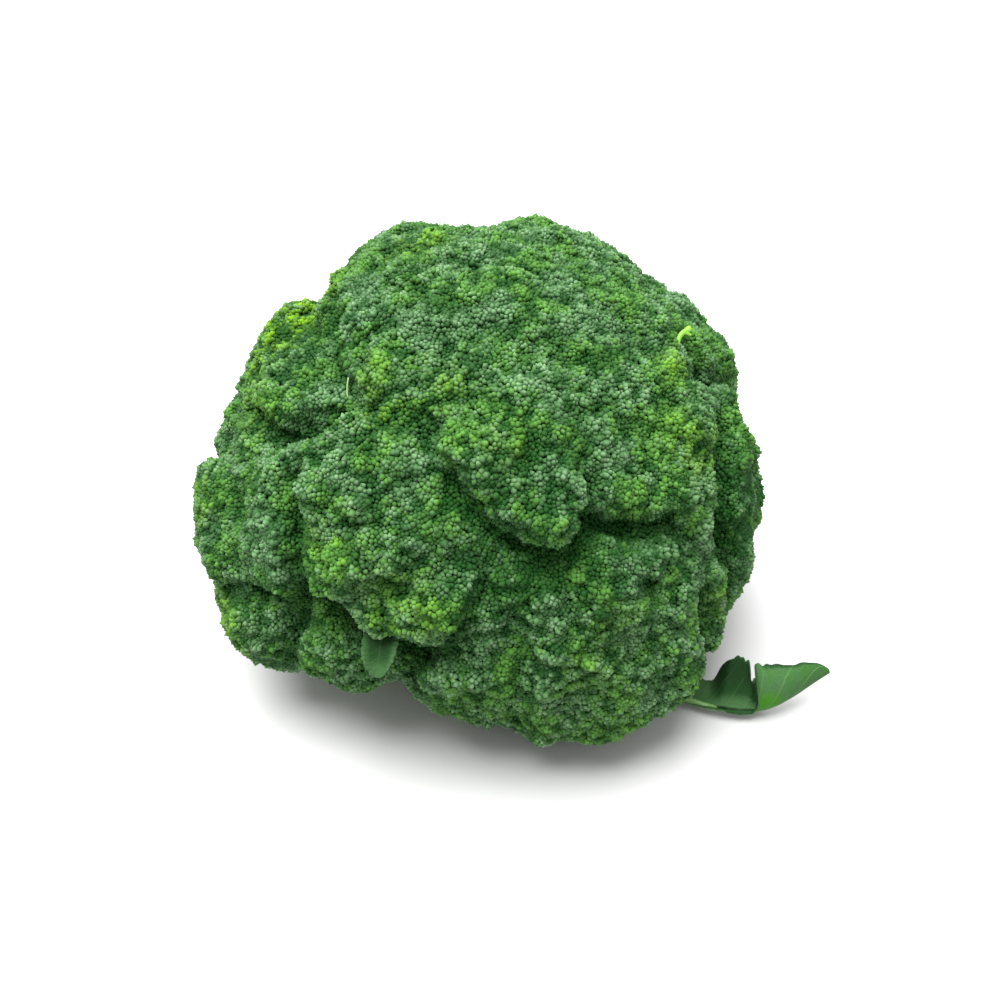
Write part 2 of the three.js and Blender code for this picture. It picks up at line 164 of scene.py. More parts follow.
# Small dark pits where branches fork: direction, depth and reach.
PITS = [
    ((-24, 48), 6.0, 2.8),
    ((-9, 46), 6.5, 2.6),
    ((-47, 36), 4.5, 3.0),
    ((-82, 75), 3.0, 2.6),
    ((-38, 57), 3.0, 2.4),
    ((56, 50), 3.5, 2.6),
    ((-1, 51), 2.5, 2.2),
    ((31, 15), 4.5, 2.8),
    ((2, 18), 3.5, 2.6),
    ((-4, 37), 4.0, 2.4),
    ((-21, 10), 4.0, 3.0),
    ((-13, 5), 6.0, 3.6),
    ((26, 31), 3.0, 2.2),
    ((-18, 20), 2.5, 2.0),
    ((-21, 29), 2.2, 2.0),
    ((72, 70), 2.5, 2.0),
    ((-14, 63), 2.5, 2.0),
    ((32, 46), 2.5, 2.0),
    ((8, 64), 2.5, 2.0),
    ((135, 48), 4.0, 2.6),
    ((180, 62), 3.0, 2.4),
    ((250, 40), 4.0, 2.6),
]

# ---- Buds ----
BUD_SPACING = 0.82 * MM  # least distance between the middles of two buds, as first strewn
BUD_PITCH = 1.10 * MM  # neighbouring buds are pushed apart to this distance
STREWN_CROWDING = 6.0  # places tried on a square as wide as the spacing
SETTLE_STEPS = 4
SETTLE_NEIGHBOURS = 7
SETTLE_PUSH = 0.45
GAP_NEIGHBOURS = 5  # how many neighbours a bud's size is taken from
WIDEST_GAP = 1.15 * BUD_PITCH
GIRTH = 0.88  # a bud's radius, over its distance to its neighbours
BUD_SIDES = 5
BUD_SHAPES = 7
BUD_TURN = 0.15  # how far a bud's corners stray round it, over one side
BUD_REACH = (0.82, 1.15)  # least and most reach of a corner, over the bud's radius
BUD_RIM = (-0.35, 0.0)  # least and most height of a corner
BUD_LEAN = 0.3  # how far the tip strays aside
BUD_HEIGHT = (0.68, 0.95)
BUD_FOOT = 1.8  # how far a bud's foot reaches down, over its radius
RIM_TIP = 0.15  # where the rim's colour lies on the way to the tip's, which is at 1
# Painted shade: this makes the bud feet that show in the gaps between buds dark.
FOOT_TIP = -1.6
BUD_TILT = 0.45  # how far a bud tilts from the skin's normal, in radians
BUD_SIZES = (0.74, 1.18)
BUD_UNEVENNESS = 0.32 * MM  # how far a bud stands above or below its neighbours
CREASE_SHADE = 0.9  # how much painted shade darkens buds at the bottom of a crease
UNDERSIDE_LIMIT = -0.12  # buds end where the skin turns this far to the stem
HUE_SIZE = 11 * MM  # size of the soft patches in the buds' hue
RAG_SIZE = 7 * MM  # size of the rags at the edges of riper patches
TONE_SIZE = 3.5 * MM
GAP_WANDER_SIZE = 9 * MM  # size of the areas with more and with fewer dark gaps
PATCH_CORE = 0.2  # share of a patch's reach that has its full strength
SHADE_PATCH_DARKNESS = 1.5  # how much painted shade darkens buds in a shade patch, over its strength

# ---- Colours, linear ----
# Painted shade: the near-black green of the buds' feet, hollows, creases and gaps, and of the body
# between them.
SHADE_GREEN = (0.005, 0.046, 0.004)
BLUE_GREEN = (0.079, 0.190, 0.066)
MID_GREEN = (0.082, 0.230, 0.026)
YELLOW_GREEN = (0.190, 0.405, 0.010)
# Partly the buds' real waxy grey coat and partly a painted highlight, as it is laid on their tips.
WAX_AND_HIGHLIGHT = (0.205, 0.320, 0.178)
PALE_STEM = (0.330, 0.500, 0.170)
STEM_BLOTCH = (0.22, 0.38, 0.10)
STEM_TOP = (0.07, 0.20, 0.04)
STALK_GREEN = (0.30, 0.44, 0.15)
STALK_BLOTCH = (0.20, 0.36, 0.12)
STALK_TOP = (0.10, 0.24, 0.06)
CUT_FLESH = (0.620, 0.680, 0.400)
LEAF_TOP = (0.010, 0.042, 0.010)
LEAF_BACK = (0.050, 0.122, 0.046)
LEAF_VEIN = (0.118, 0.235, 0.095)
LEAF_TOP_MOTTLE = (0.012, 0.050, 0.010)
# Painted light: the lit parts of a leaf's top, which is truly dark green.
LEAF_TOP_PALE = (0.030, 0.085, 0.026)
LEAF_TOP_PALEST = (0.055, 0.130, 0.045)
LEAF_BACK_MOTTLE = (0.042, 0.128, 0.030)
LEAF_BACK_END = (0.028, 0.095, 0.018)
LEAF_BACK_FRESH = (0.040, 0.180, 0.006)
FRESH_SPROUT = ((0.15, 0.40, 0.03), (0.24, 0.52, 0.04))  # at the root and at the tip
DRY_SPROUT = ((0.16, 0.34, 0.07), (0.42, 0.55, 0.28))
FLOOR_GREY = (0.52, 0.52, 0.52)
FLOOR_SHADE = (0.50, 0.50, 0.50)

# Small shoots on the crown: direction, bends (right, up and out, in mm), radii and kind.
SHOOTS = [
    (
        (68, 47),
        [(-0.6, -0.6, -1.2), (1.9, 1.0, 1.5), (3.4, 0.7, 2.7), (4.7, -0.1, 3.4), (6.2, -0.8, 4.0)],
        (0.60, 0.80),
        "fresh",
    ),
    (
        (68, 47),
        [(3.4, 0.7, 2.7), (4.0, -0.6, 3.2), (4.4, -1.8, 3.3)],
        (0.60, 0.45),
        "fresh",
    ),
    (
        (-33, 50),
        [(1.0, -2.6, -0.8), (0.4, -2.2, 1.0), (-0.6, 0.4, 1.6), (-1.0, 2.8, 1.8)],
        (0.30, 0.20),
        "dry",
    ),
]
SHOOT_STEPS = 4  # from one bend to the next
SHOOT_SIDES = 8

# Patches of riper, yellow-green buds.
SUN_PATCHES = [
    # direction, reach, strength
    ((-82, 51), 28, 1.2),
    ((-74, 42), 20, 0.8),
    ((-62, 36), 15, 0.5),
    ((-76, 80), 13, 0.7),
    ((-22, 49), 9, 0.8),
    ((-27, 53), 8, 0.5),
    ((-7, 53), 12, 0.4),
    ((50, 34), 16, 0.6),
    ((60, 46), 10, 0.6),
    ((-11, 16), 18, 0.45),
    ((-25, 26), 14, 0.35),
    ((-50, -2), 14, 0.7),
    ((24, 12), 10, 0.45),
    ((20, 4), 12, 0.35),
    ((50, 4), 10, 0.45),
    ((-62, 17), 12, 0.6),
    ((7, 42), 13, 0.35),
    ((150, 35), 18, 0.6),
    ((210, 25), 16, 0.6),
    ((110, 12), 14, 0.5),
]

# Patches of painted shade, where more of the buds stand deep in gaps and all are painted darker.
SHADE_PATCHES = [
    # direction, reach, strength
    ((6, 22), 24, 0.17),
    ((24, 20), 20, 0.14),
    ((10, 38), 18, 0.18),
    ((57, 18), 20, 0.30),
    ((76, 18), 26, 0.26),
    ((90, 4), 28, 0.22),
    ((-68, 52), 22, 0.12),
    ((-52, 22), 16, 0.08),
]


# ---------------------------------------------------------------------------
# Node graphs written as expressions
# ---------------------------------------------------------------------------
class Wire:
    """An output socket that Python's operators do arithmetic on."""

    def __init__(self, graph, socket):
        self.graph = graph
        self.socket = socket

    def math(self, operation, *others):
        values = dict(enumerate((self, *others)))
        return self.graph.add("ShaderNodeMath", {"operation": operation}, values)

    def __add__(self, other):
        return self.math("ADD", other)

    __radd__ = __add__

    def __sub__(self, other):
        return self.math("SUBTRACT", other)

    def __rsub__(self, other):
        return self.graph.add("ShaderNodeMath", {"operation": "SUBTRACT"}, {0: other, 1: self})

    def __mul__(self, other):
        return self.math("MULTIPLY", other)

    __rmul__ = __mul__

    def __gt__(self, other):
        return self.math("GREATER_THAN", other)

    def __abs__(self):
        return self.math("ABSOLUTE")

    def fract(self):
        return self.math("FRACT")

    def largest(self, other):
        return self.math("MAXIMUM", other)

    def ramp(self, low, high, start=0.0, end=1.0):
        """Goes smoothly from start to end as this value goes from low to high."""
        settings = {"interpolation_type": "SMOOTHSTEP"}
        values = {"Value": self, "From Min": low, "From Max": high, "To Min": start, "To Max": end}
        return self.graph.add("ShaderNodeMapRange", settings, values)


class Graph:
    """A node tree that is written one node at a time."""

    def __init__(self, tree):
        self.tree = tree

    def add(self, kind, settings=None, values=None, output=0):
        """Makes a node, sets it up, joins or sets its inputs, and gives one of its outputs."""
        node = self.tree.nodes.new(kind)
        for name, value in (settings or {}).items():
            setattr(node, name, value)
        for key, value in (values or {}).items():
            self.put(node, key, value)
        outputs = [socket for socket in node.outputs if socket.enabled]
        if isinstance(output, str):
            return Wire(self, next(socket for socket in outputs if socket.name == output))
        return Wire(self, outputs[output])

    def put(self, node, key, value):
        sockets = [socket for socket in node.inputs if socket.enabled]
        if isinstance(key, str):
            socket = next(socket for socket in sockets if socket.name == key)
        else:
            socket = sockets[key]
        if isinstance(value, Wire):
            self.tree.links.new(value.socket, socket)
        else:
            socket.default_value = value

    def other(self, wire, name):
        """Another output of the node that a wire comes from."""
        outputs = wire.socket.node.outputs
        return Wire(self, next(socket for socket in outputs if socket.enabled and socket.name == name))

    def vector(self, operation, *values):
        return self.add("ShaderNodeVectorMath", {"operation": operation}, dict(enumerate(values)))

    def blend(self, factor, low, high):
        """Goes from one colour to another."""
        settings = {"data_type": "RGBA"}
        values = {"Factor": factor, "A": as_colour(low), "B": as_colour(high)}
        return self.add("ShaderNodeMix", settings, values)


def as_colour(value):
    """A colour as a socket takes it: a wire, or three numbers and a full fourth."""
    return value if isinstance(value, Wire) else (*value, 1.0)


class Skin(Graph):
    """A material with one Principled shader."""

    def __init__(self, name, roughness, specular=0.5):
        self.material = bpy.data.materials.new(name)
        self.material.use_nodes = True
        super().__init__(self.material.node_tree)
        self.shader = self.tree.nodes["Principled BSDF"]
        self.shader.inputs["Roughness"].default_value = roughness
        self.shader.inputs["Specular IOR Level"].default_value = specular

    def attribute(self, name, output="Fac"):
        return self.add("ShaderNodeAttribute", {"attribute_name": name}, output=output)

    def place(self):
        return self.add("ShaderNodeTexCoord", output="Object")

    def noise(self, scale, detail=2.0, vector=None):
        values = {"Vector": vector or self.place(), "Scale": scale, "Detail": detail}
        return self.add("ShaderNodeTexNoise", None, values)

    def finish(self, colour, bump=None, strength=0.3, depth=0.2 * MM):
        self.put(self.shader, "Base Color", colour)
        if bump is not None:
            values = {"Height": bump, "Strength": strength, "Distance": depth}
            self.put(self.shader, "Normal", self.add("ShaderNodeBump", None, values))
        return self.material


# ---------------------------------------------------------------------------
# Finishes
# ---------------------------------------------------------------------------
def bud_skin():
    """Closed buds, green to yellow-green by patch, with a grey wax on their tips that is partly painted
    highlight, and painted shade at their feet, in hollows, creases, clump valleys, gaps and shade
    patches.
    """
    skin = Skin("bud_skin", 0.7, 0.15)
    tip = skin.attribute("tip")
    ripe = skin.attribute("ripe").ramp(0.42, 0.60)
    sun = skin.attribute("sun")
    tone = skin.attribute("tone").ramp(0.0, 1.2)
    swell = skin.attribute("swell")
    clump = skin.attribute("clump")
    green = skin.blend(ripe, BLUE_GREEN, MID_GREEN)
    green = skin.blend(sun, green, YELLOW_GREEN)
    # Waxy grey on the buds' tips: partly real wax, partly painted highlight.
    wax_and_highlight = (1 - 0.75 * ripe) * (1 - 0.85 * sun) * tip.ramp(0.2, 1.0)
    green = skin.blend(wax_and_highlight * (0.55 + 0.45 * tone), green, WAX_AND_HIGHLIGHT)
    # Painted shade: darker towards each bud's foot, in hollows and creases, and in clump valleys, gaps
    # and shade patches.
    shade = tip.ramp(-2.0, 1.2) * (0.8 + 0.2 * tone) * (0.12 + 0.88 * swell) * clump
    return skin.finish(skin.blend(shade, SHADE_GREEN, green))


def floret_body_skin():
    """The body under the buds: nearly black green between them as painted shade, pale green by the
    branch.
    """
    skin = Skin("floret_body_skin", 0.6, 0.2)
    under = skin.attribute("under")
    mottle = skin.noise(260.0, 3.0)
    pale = skin.blend(mottle.ramp(0.35, 0.7), MID_GREEN, PALE_STEM)
    return skin.finish(skin.blend(under, SHADE_GREEN, pale), mottle, 0.4)


def branchlet_skin():
    """The small stems under the buds: pale green with faint blotches, greener at the buds."""
    skin = Skin("branchlet_skin", 0.45, 0.4)
    reach = skin.attribute("reach")
    mottle = skin.noise(700.0, 2.0)
    colour = skin.blend(mottle.ramp(0.35, 0.65), PALE_STEM, STEM_BLOTCH)
    return skin.finish(skin.blend(reach.ramp(0.45, 1.0) * 0.75, colour, STEM_TOP), mottle)


def stalk_skin():
    """Pale green skin with faint long streaks, and wet paler flesh at the cut."""
    skin = Skin("stalk_skin", 0.42, 0.5)
    place = skin.place()
    stretch = skin.vector("MULTIPLY", place, (1.0, 1.0, 0.18))
    streaks = skin.noise(420.0, 3.0, stretch)
    mottle = skin.noise(60.0, 2.0)
    height = skin.add("ShaderNodeSeparateXYZ", None, {0: place}, output="Z")
    colour = skin.blend(streaks.ramp(0.35, 0.65), STALK_GREEN, PALE_STEM)
    colour = skin.blend(mottle.ramp(0.45, 0.75) * 0.5, colour, STALK_BLOTCH)
    colour = skin.blend(height.ramp(30 * MM, 75 * MM) * 0.6, colour, STALK_TOP)
    colour = skin.blend(height.ramp(0.1 * MM, 0.5 * MM, 1.0, 0.0), colour, CUT_FLESH)
    return skin.finish(colour, streaks, 0.25)


def leaf_skin(name, vein_count, lobed):
    """A leaf: a dark top with painted shade and painted light on it, a grey-green back with a fresh
    patch, and pale veins.
    """
    skin = Skin(name, 0.6, 0.1)
    spot = skin.attribute("spot", "Vector")
    along = skin.add("ShaderNodeSeparateXYZ", None, {0: spot}, output="X")
    out = abs(skin.other(along, "Y"))
    back = skin.attribute("back")
    mottle = skin.noise(160.0, 3.0)
    # Painted shade on the leaf's top where it lies in shadow, and painted light, paler, where it is lit.
    if lobed:
        dark = along.ramp(0.24, 0.32) * along.ramp(0.58, 0.66, 1.0, 0.0) * out.ramp(0.12, 0.35)
    else:
        dark = along.ramp(0.62, 0.90, 1.0, 0.0) * out.ramp(0.50, 0.95, 1.0, 0.0)
    top = skin.blend(mottle.ramp(0.3, 0.7), LEAF_TOP, LEAF_TOP_MOTTLE)
    top = skin.blend(dark, skin.blend(mottle, LEAF_TOP_PALE, LEAF_TOP_PALEST), top)
    under = skin.blend(mottle.ramp(0.35, 0.65), LEAF_BACK, LEAF_BACK_MOTTLE)
    under = skin.blend(along.ramp(0.72, 0.98) * 0.75, under, LEAF_BACK_END)
    fresh = along.ramp(0.68, 0.80, 1.0, 0.0) * out.ramp(0.30, 0.60, 1.0, 0.0)
    under = skin.blend(fresh, under, LEAF_BACK_FRESH)
    under = skin.blend(along.ramp(0.68, 0.74) * out.ramp(0.88, 0.97), under, LEAF_TOP)
    colour = skin.blend(back, top, under)
    ribs = abs((along * vein_count - out * 1.6 + 0.04 * mottle).fract() - 0.5)
    side_veins = ribs.ramp(0.02, 0.07, 1.0, 0.0) * out.ramp(0.7, 1.0, 1.0, 0.3)
    midrib = out.ramp(0.03, 0.09, 1.0, 0.0)
    settings = {"feature": "DISTANCE_TO_EDGE"}
    values = {"Vector": skin.place(), "Scale": 420.0, "Randomness": 0.9}
    net = skin.add("ShaderNodeTexVoronoi", settings, values).ramp(0.0, 0.10, 1.0, 0.0)
    pale = midrib.largest(side_veins * 0.7).largest(net * 0.2)
    colour = skin.blend(pale * (0.15 + 0.35 * back), colour, LEAF_VEIN)
    height = midrib + side_veins * 0.6 + net * 0.35 + mottle * 0.3
    return skin.finish(colour, height, 0.5, 0.4 * MM)


def sprout_skin(name, root_colour, tip_colour):
    """A small shoot, paler towards its tip."""
    skin = Skin(name, 0.45, 0.4)
    mottle = skin.noise(900.0, 2.0)
    colour = skin.blend(skin.attribute("reach"), root_colour, tip_colour)
    return skin.finish(skin.blend(mottle.ramp(0.4, 0.7) * 0.3, colour, root_colour), mottle)


# ---------------------------------------------------------------------------
# Meshes
# ---------------------------------------------------------------------------
WELD_DISTANCE = 2e-6


def new_object(name, mesh):
    made = bpy.data.objects.new(name, mesh)
    bpy.context.scene.collection.objects.link(made)
    return made


def merged_copy(name, node_name):
    """A copy of a CAD node's mesh, with its loose triangles joined."""
    shape = bmesh.new()
    shape.from_mesh(frame["nodes"][node_name].data)
    bmesh.ops.remove_doubles(shape, verts=shape.verts, dist=WELD_DISTANCE)
    mesh = bpy.data.meshes.new(name)
    shape.to_mesh(mesh)
    shape.free()
    return mesh


def mesh_from(name, points, faces, material, floats=(), vectors=()):
    """A smooth mesh, with named values at its points."""
    mesh = bpy.data.meshes.new(name)
    mesh.from_pydata([tuple(p) for p in points], [], faces)
    for label, values in dict(floats).items():
        mesh.attributes.new(label, "FLOAT", "POINT").data.foreach_set("value", np.ravel(values))
    for label, values in dict(vectors).items():
        mesh.attributes.new(label, "FLOAT_VECTOR", "POINT").data.foreach_set("vector", np.ravel(values))
    mesh.polygons.foreach_set("use_smooth", [True] * len(mesh.polygons))
    if material:
        mesh.materials.append(material)
    mesh.update()
    return mesh


def add_remesh(piece, voxel_size):
    remesh = piece.modifiers.new("remesh", "REMESH")
    remesh.mode = "VOXEL"
    remesh.voxel_size = voxel_size


def plain_mesh(piece):
    """The mesh that a piece's modifiers make, with the modifiers taken off the piece."""
    graph = bpy.context.evaluated_depsgraph_get()
    mesh = bpy.data.meshes.new_from_object(piece.evaluated_get(graph), depsgraph=graph)
    piece.modifiers.clear()
    return mesh


def join_into(piece, other):
    """Adds another object's mesh, with its materials, to a piece."""
    with bpy.context.temp_override(active_object=piece, selected_editable_objects=[piece, other]):
        bpy.ops.object.join()


def facing(azimuth, elevation):
    """The direction that an azimuth and an elevation, in degrees, stand for."""
    turn, lift = math.radians(azimuth), math.radians(elevation)
    level = math.cos(lift)
    return Vector((math.sin(turn) * level, -math.cos(turn) * level, math.sin(lift)))


def through(points, share):
    """The place a share of the way along the smooth curve through some points."""
    last = len(points) - 1
    spot = min(share * last, last - 1e-9)
    index = int(spot)
    before = points[index - 1] if index > 0 else 2 * points[0] - points[1]
    after = points[index + 2] if index + 2 <= last else 2 * points[last] - points[last - 1]
    a, b, c, d = before, points[index], points[index + 1], after
    first, second, third = ((q - p).length ** 0.5 for p, q in ((a, b), (b, c), (c, d)))
    slope_b = ((b - a) / first - (c - a) / (first + second) + (c - b) / second) * second
    slope_c = ((c - b) / second - (d - b) / (second + third) + (d - c) / third) * second
    t = spot - index
    square, cube = 3 * (c - b) - 2 * slope_b - slope_c, 2 * (b - c) + slope_b + slope_c
    return b + slope_b * t + square * t**2 + cube * t**3


def heading(points, share):
    step = 1e-4
    return (through(points, min(share + step, 1)) - through(points, max(share - step, 0))).normalized()


def tube(path, radii, sides):
    """Points, faces and reach along it of a closed tube that follows some points."""
    points, faces, reach = [], [], []
    side = None
    for index, (middle, radius) in enumerate(zip(path, radii)):
        ahead = (path[min(index + 1, len(path) - 1)] - path[max(index - 1, 0)]).normalized()
        if side is None:
            side = ahead.orthogonal().normalized()
        side = (side - ahead * side.dot(ahead)).normalized()
        other = ahead.cross(side)
        for s in range(sides):
            angle = 2 * math.pi * s / sides
            points.append(middle + (side * math.cos(angle) + other * math.sin(angle)) * radius)
            reach.append(index / (len(path) - 1))
    for index in range(len(path) - 1):
        for s in range(sides):
            here, beside = index * sides + s, index * sides + (s + 1) % sides
            faces.append((here, beside, beside + sides, here + sides))
    start, end = len(points), len(points) + 1
    points += [path[0], path[-1]]
    reach += [0.0, 1.0]
    top = (len(path) - 1) * sides
    for s in range(sides):
        beside = (s + 1) % sides
        faces.append((start, beside, s))
        faces.append((end, top + s, top + beside))
    return points, faces, reach


def join_parts(parts):
    """Joins (points, faces, values) parts into one list of each."""
    points, faces, values = [], [], []
    for more_points, more_faces, more_values in parts:
        start = len(points)
        points += more_points
        faces += [tuple(start + corner for corner in face) for face in more_faces]
        values += more_values
    return points, faces, values


# ---------------------------------------------------------------------------
# Buds
# ---------------------------------------------------------------------------
def bud_mesh(name, draw):
    """A closed bud: a pointed dome on a tapered foot, with how near the tip each point is."""
    points, tips = [], []
    for side in range(BUD_SIDES):
        angle = 2 * math.pi * (side + draw.uniform(-BUD_TURN, BUD_TURN)) / BUD_SIDES
        reach = draw.uniform(*BUD_REACH)
        points.append((reach * math.cos(angle), reach * math.sin(angle), draw.uniform(*BUD_RIM)))
        tips.append(RIM_TIP)
    right, back = draw.uniform(-BUD_LEAN, BUD_LEAN), draw.uniform(-BUD_LEAN, BUD_LEAN)
    points.append((right, back, draw.uniform(*BUD_HEIGHT)))
    tips.append(1.0)
    points.append((0.0, 0.0, -BUD_FOOT))
    tips.append(FOOT_TIP)
    faces = [(side, (side + 1) % BUD_SIDES, BUD_SIDES) for side in range(BUD_SIDES)]
    faces += [((side + 1) % BUD_SIDES, side, BUD_SIDES + 1) for side in range(BUD_SIDES)]
    return mesh_from(name, points, faces, None, {"tip": tips})


def bud_shapes():
    """The bud shapes that every floret draws from."""
    shapes = bpy.data.collections.new("bud_shapes")
    draw = np.random.default_rng(SEED)
    for index in range(BUD_SHAPES):
        name = f"bud_shape_{index}"
        shapes.objects.link(bpy.data.objects.new(name, bud_mesh(name, draw)))
    return shapes


class PieceTree(Graph):
    """A geometry node tree with named inputs, which ends in one geometry."""

    def __init__(self, name, inputs):
        super().__init__(bpy.data.node_groups.new(name, "GeometryNodeTree"))
        for label, kind in inputs:
            self.tree.interface.new_socket(label, in_out="INPUT", socket_type=kind)
        self.tree.interface.new_socket("Result", in_out="OUTPUT", socket_type="NodeSocketGeometry")
        self.entry = self.add("NodeGroupInput")

    def end(self, geometry):
        self.put(self.tree.nodes.new("NodeGroupOutput"), 0, geometry)

    def given(self, name):
        return self.other(self.entry, name)

    def place(self):
        return self.add("GeometryNodeInputPosition")

    def normal(self):
        return self.add("GeometryNodeInputNormal")

    def store(self, geometry, name, value):
        settings = {"data_type": "FLOAT", "domain": "POINT"}
        values = {"Geometry": geometry, "Name": name, "Value": value}
        return self.add("GeometryNodeStoreNamedAttribute", settings, values)

    def stored(self, name, kind="FLOAT"):
        return self.add("GeometryNodeInputNamedAttribute", {"data_type": kind}, {"Name": name})

    def draw(self, low, high, seed):
        """A random number for each point."""
        values = {"Min": low, "Max": high, "Seed": seed}
        return self.add("FunctionNodeRandomValue", {"data_type": "FLOAT"}, values)

    def scaled(self, vector, factor):
        return self.add("ShaderNodeVectorMath", {"operation": "SCALE"}, {0: vector, "Scale": factor})

    def noise(self, size, detail, output=0):
        values = {"Vector": self.place(), "Scale": 1 / size, "Detail": detail, "Roughness": 0.5}
        return self.add("ShaderNodeTexNoise", None, values, output)

    def moved(self, geometry, distance):
        """A surface moved along its normals."""
        values = {"Geometry": geometry, "Offset": self.scaled(self.normal(), distance)}
        return self.add("GeometryNodeSetPosition", None, values)

    def joined(self, *geometries):
        join = self.tree.nodes.new("GeometryNodeJoinGeometry")
        for geometry in geometries:
            self.put(join, 0, geometry)
        return Wire(self, join.outputs[0])


def mounds(tree, size):
    """Rounded mounds of about a size, with narrow valleys between them, from -0.5 to 0.5."""
    waver = tree.scaled(tree.noise(WAVER_SIZE * size, 1.0, "Color"), WAVER_REACH * size)
    values = {
        "Vector": tree.vector("ADD", tree.place(), waver),
        "Scale": 1 / size,
        "Smoothness": VALLEY_SOFTNESS,
    }
    return 0.5 - tree.add("ShaderNodeTexVoronoi", {"feature": "SMOOTH_F1"}, values, "Distance")


def crown_tree():
    """Raises lumps on the skin, and notes how far each spot swells and faces out."""
    tree = PieceTree("crown_tree", [
        ("Crown", "NodeSocketGeometry"),
        ("Lump rise", "NodeSocketFloat"),
        ("Stem heart", "NodeSocketVector"),
    ])
    crown = tree.moved(tree.given("Crown"), mounds(tree, LUMP_SIZE) * tree.given("Lump rise") * 2)
    values = {"Value": tree.place(), "Iterations": SWELL_ROUNDS}
    level = tree.add("GeometryNodeBlurAttribute", {"data_type": "FLOAT_VECTOR"}, values)
    rise = tree.vector("DOT_PRODUCT", tree.vector("SUBTRACT", tree.place(), level), tree.normal())
    crown = tree.store(crown, "swell", rise.ramp(*SWELL_RANGE))
    from_stem = tree.vector("SUBTRACT", tree.place(), tree.given("Stem heart"))
    out = tree.vector("NORMALIZE", from_stem)
    height = tree.add("ShaderNodeSeparateXYZ", None, {0: tree.place()}, "Z")
    outward = tree.vector("DOT_PRODUCT", out, tree.normal()) + height.ramp(*OUTER_HEIGHT)
    tree.end(tree.store(crown, "outward", outward))
    return tree.tree


def strewing_tree():
    """Strews bud places over the skin where it faces out."""
    tree = PieceTree("strewing_tree", [
        ("Crown", "NodeSocketGeometry"),
        ("Spacing", "NodeSocketFloat"),
        ("Underside limit", "NodeSocketFloat"),
        ("Seed", "NodeSocketInt"),
    ])
    values = {
        "Mesh": tree.given("Crown"),
        "Selection": tree.stored("outward") > tree.given("Underside limit"),
        "Distance Min": tree.given("Spacing"),
        "Density Max": STREWN_CROWDING / BUD_SPACING**2,
        "Seed": tree.given("Seed"),
    }
    settings = {"distribute_method": "POISSON"}
    points = tree.add("GeometryNodeDistributePointsOnFaces", settings, values)
    tree.end(tree.add("GeometryNodePointsToVertices", None, {"Points": points}))
    return tree.tree


def patches(tree, places):
    """How strongly a spot lies in any of some soft round patches."""
    result = 0.0
    for middle, reach, strength in places:
        far = tree.vector("DISTANCE", tree.place(), tuple(middle))
        patch = far.ramp(PATCH_CORE * reach, reach, strength, 0.0)
        result = patch.largest(result)
    return result


def hued(tree, points, sun_places):
    """Stores each bud's hue, by soft patches, and its own tone."""
    ripe = tree.noise(HUE_SIZE, 3.0) + tree.draw(-0.09, 0.09, seed=1)
    points = tree.store(points, "ripe", ripe)
    ragged = tree.noise(RAG_SIZE, 2.0) + tree.draw(-0.15, 0.15, seed=5)
    points = tree.store(points, "sun", patches(tree, sun_places) * ragged.ramp(0.30, 0.56))
    tone = tree.draw(-0.3, 0.5, seed=2) + tree.noise(TONE_SIZE, 1.0).ramp(0.3, 0.7)
    return tree.store(points, "tone", tone)


def clumped(tree, points, shade_places):
    """Lifts the buds in small clumps, a little unevenly, and sinks them in gaps here and there; stores
    painted shade for the clump valleys, the gaps and the shade patches.
    """
    clump = mounds(tree, CLUMP_SIZE)
    values = {"Vector": tree.place(), "Scale": 1 / GAP_PITCH}
    from_gap = tree.add("ShaderNodeTexVoronoi", None, values, "Distance")
    from_gap = from_gap + tree.noise(GAP_WANDER_SIZE, 1.0) * 0.6
    dusk = patches(tree, shade_places)
    gapless = (from_gap - dusk + tree.draw(-0.06, 0.06, seed=7)).ramp(0.56, 0.80)
    # Painted shade: darker in the valleys between clumps, in the gaps and in the shade patches.
    lit = (clump + 0.5).ramp(0.2, 0.75, 0.25, 1.0) * (0.12 + 0.88 * gapless) * (1 - SHADE_PATCH_DARKNESS * dusk)
    points = tree.store(points, "clump", lit)
    uneven = tree.given("Unevenness") * tree.draw(-1.0, 1.0, seed=6)
    rise = clump * tree.given("Clump rise") * 2 + uneven - (1 - gapless) * GAP_DEPTH
    lift = tree.scaled(tree.stored("out", "FLOAT_VECTOR"), rise)
    return tree.add("GeometryNodeSetPosition", None, {"Geometry": points, "Offset": lift})


def bud_turn(tree):
    """Stands a bud on the skin, spun round at random and tilted a little."""
    values = {"Vector": tree.stored("out", "FLOAT_VECTOR")}
    turn = tree.add("FunctionNodeAlignRotationToVector", {"axis": "Z"}, values)
    most = (BUD_TILT, BUD_TILT, math.pi)
    limits = {"Min": tuple(-angle for angle in most), "Max": most, "Seed": 3}
    spin = tree.add("FunctionNodeRandomValue", {"data_type": "FLOAT_VECTOR"}, limits)
    spin = tree.add("FunctionNodeEulerToRotation", None, {0: spin})
    values = {"Rotation": turn, "Rotate By": spin}
    return tree.add("FunctionNodeRotateRotation", {"rotation_space": "LOCAL"}, values)


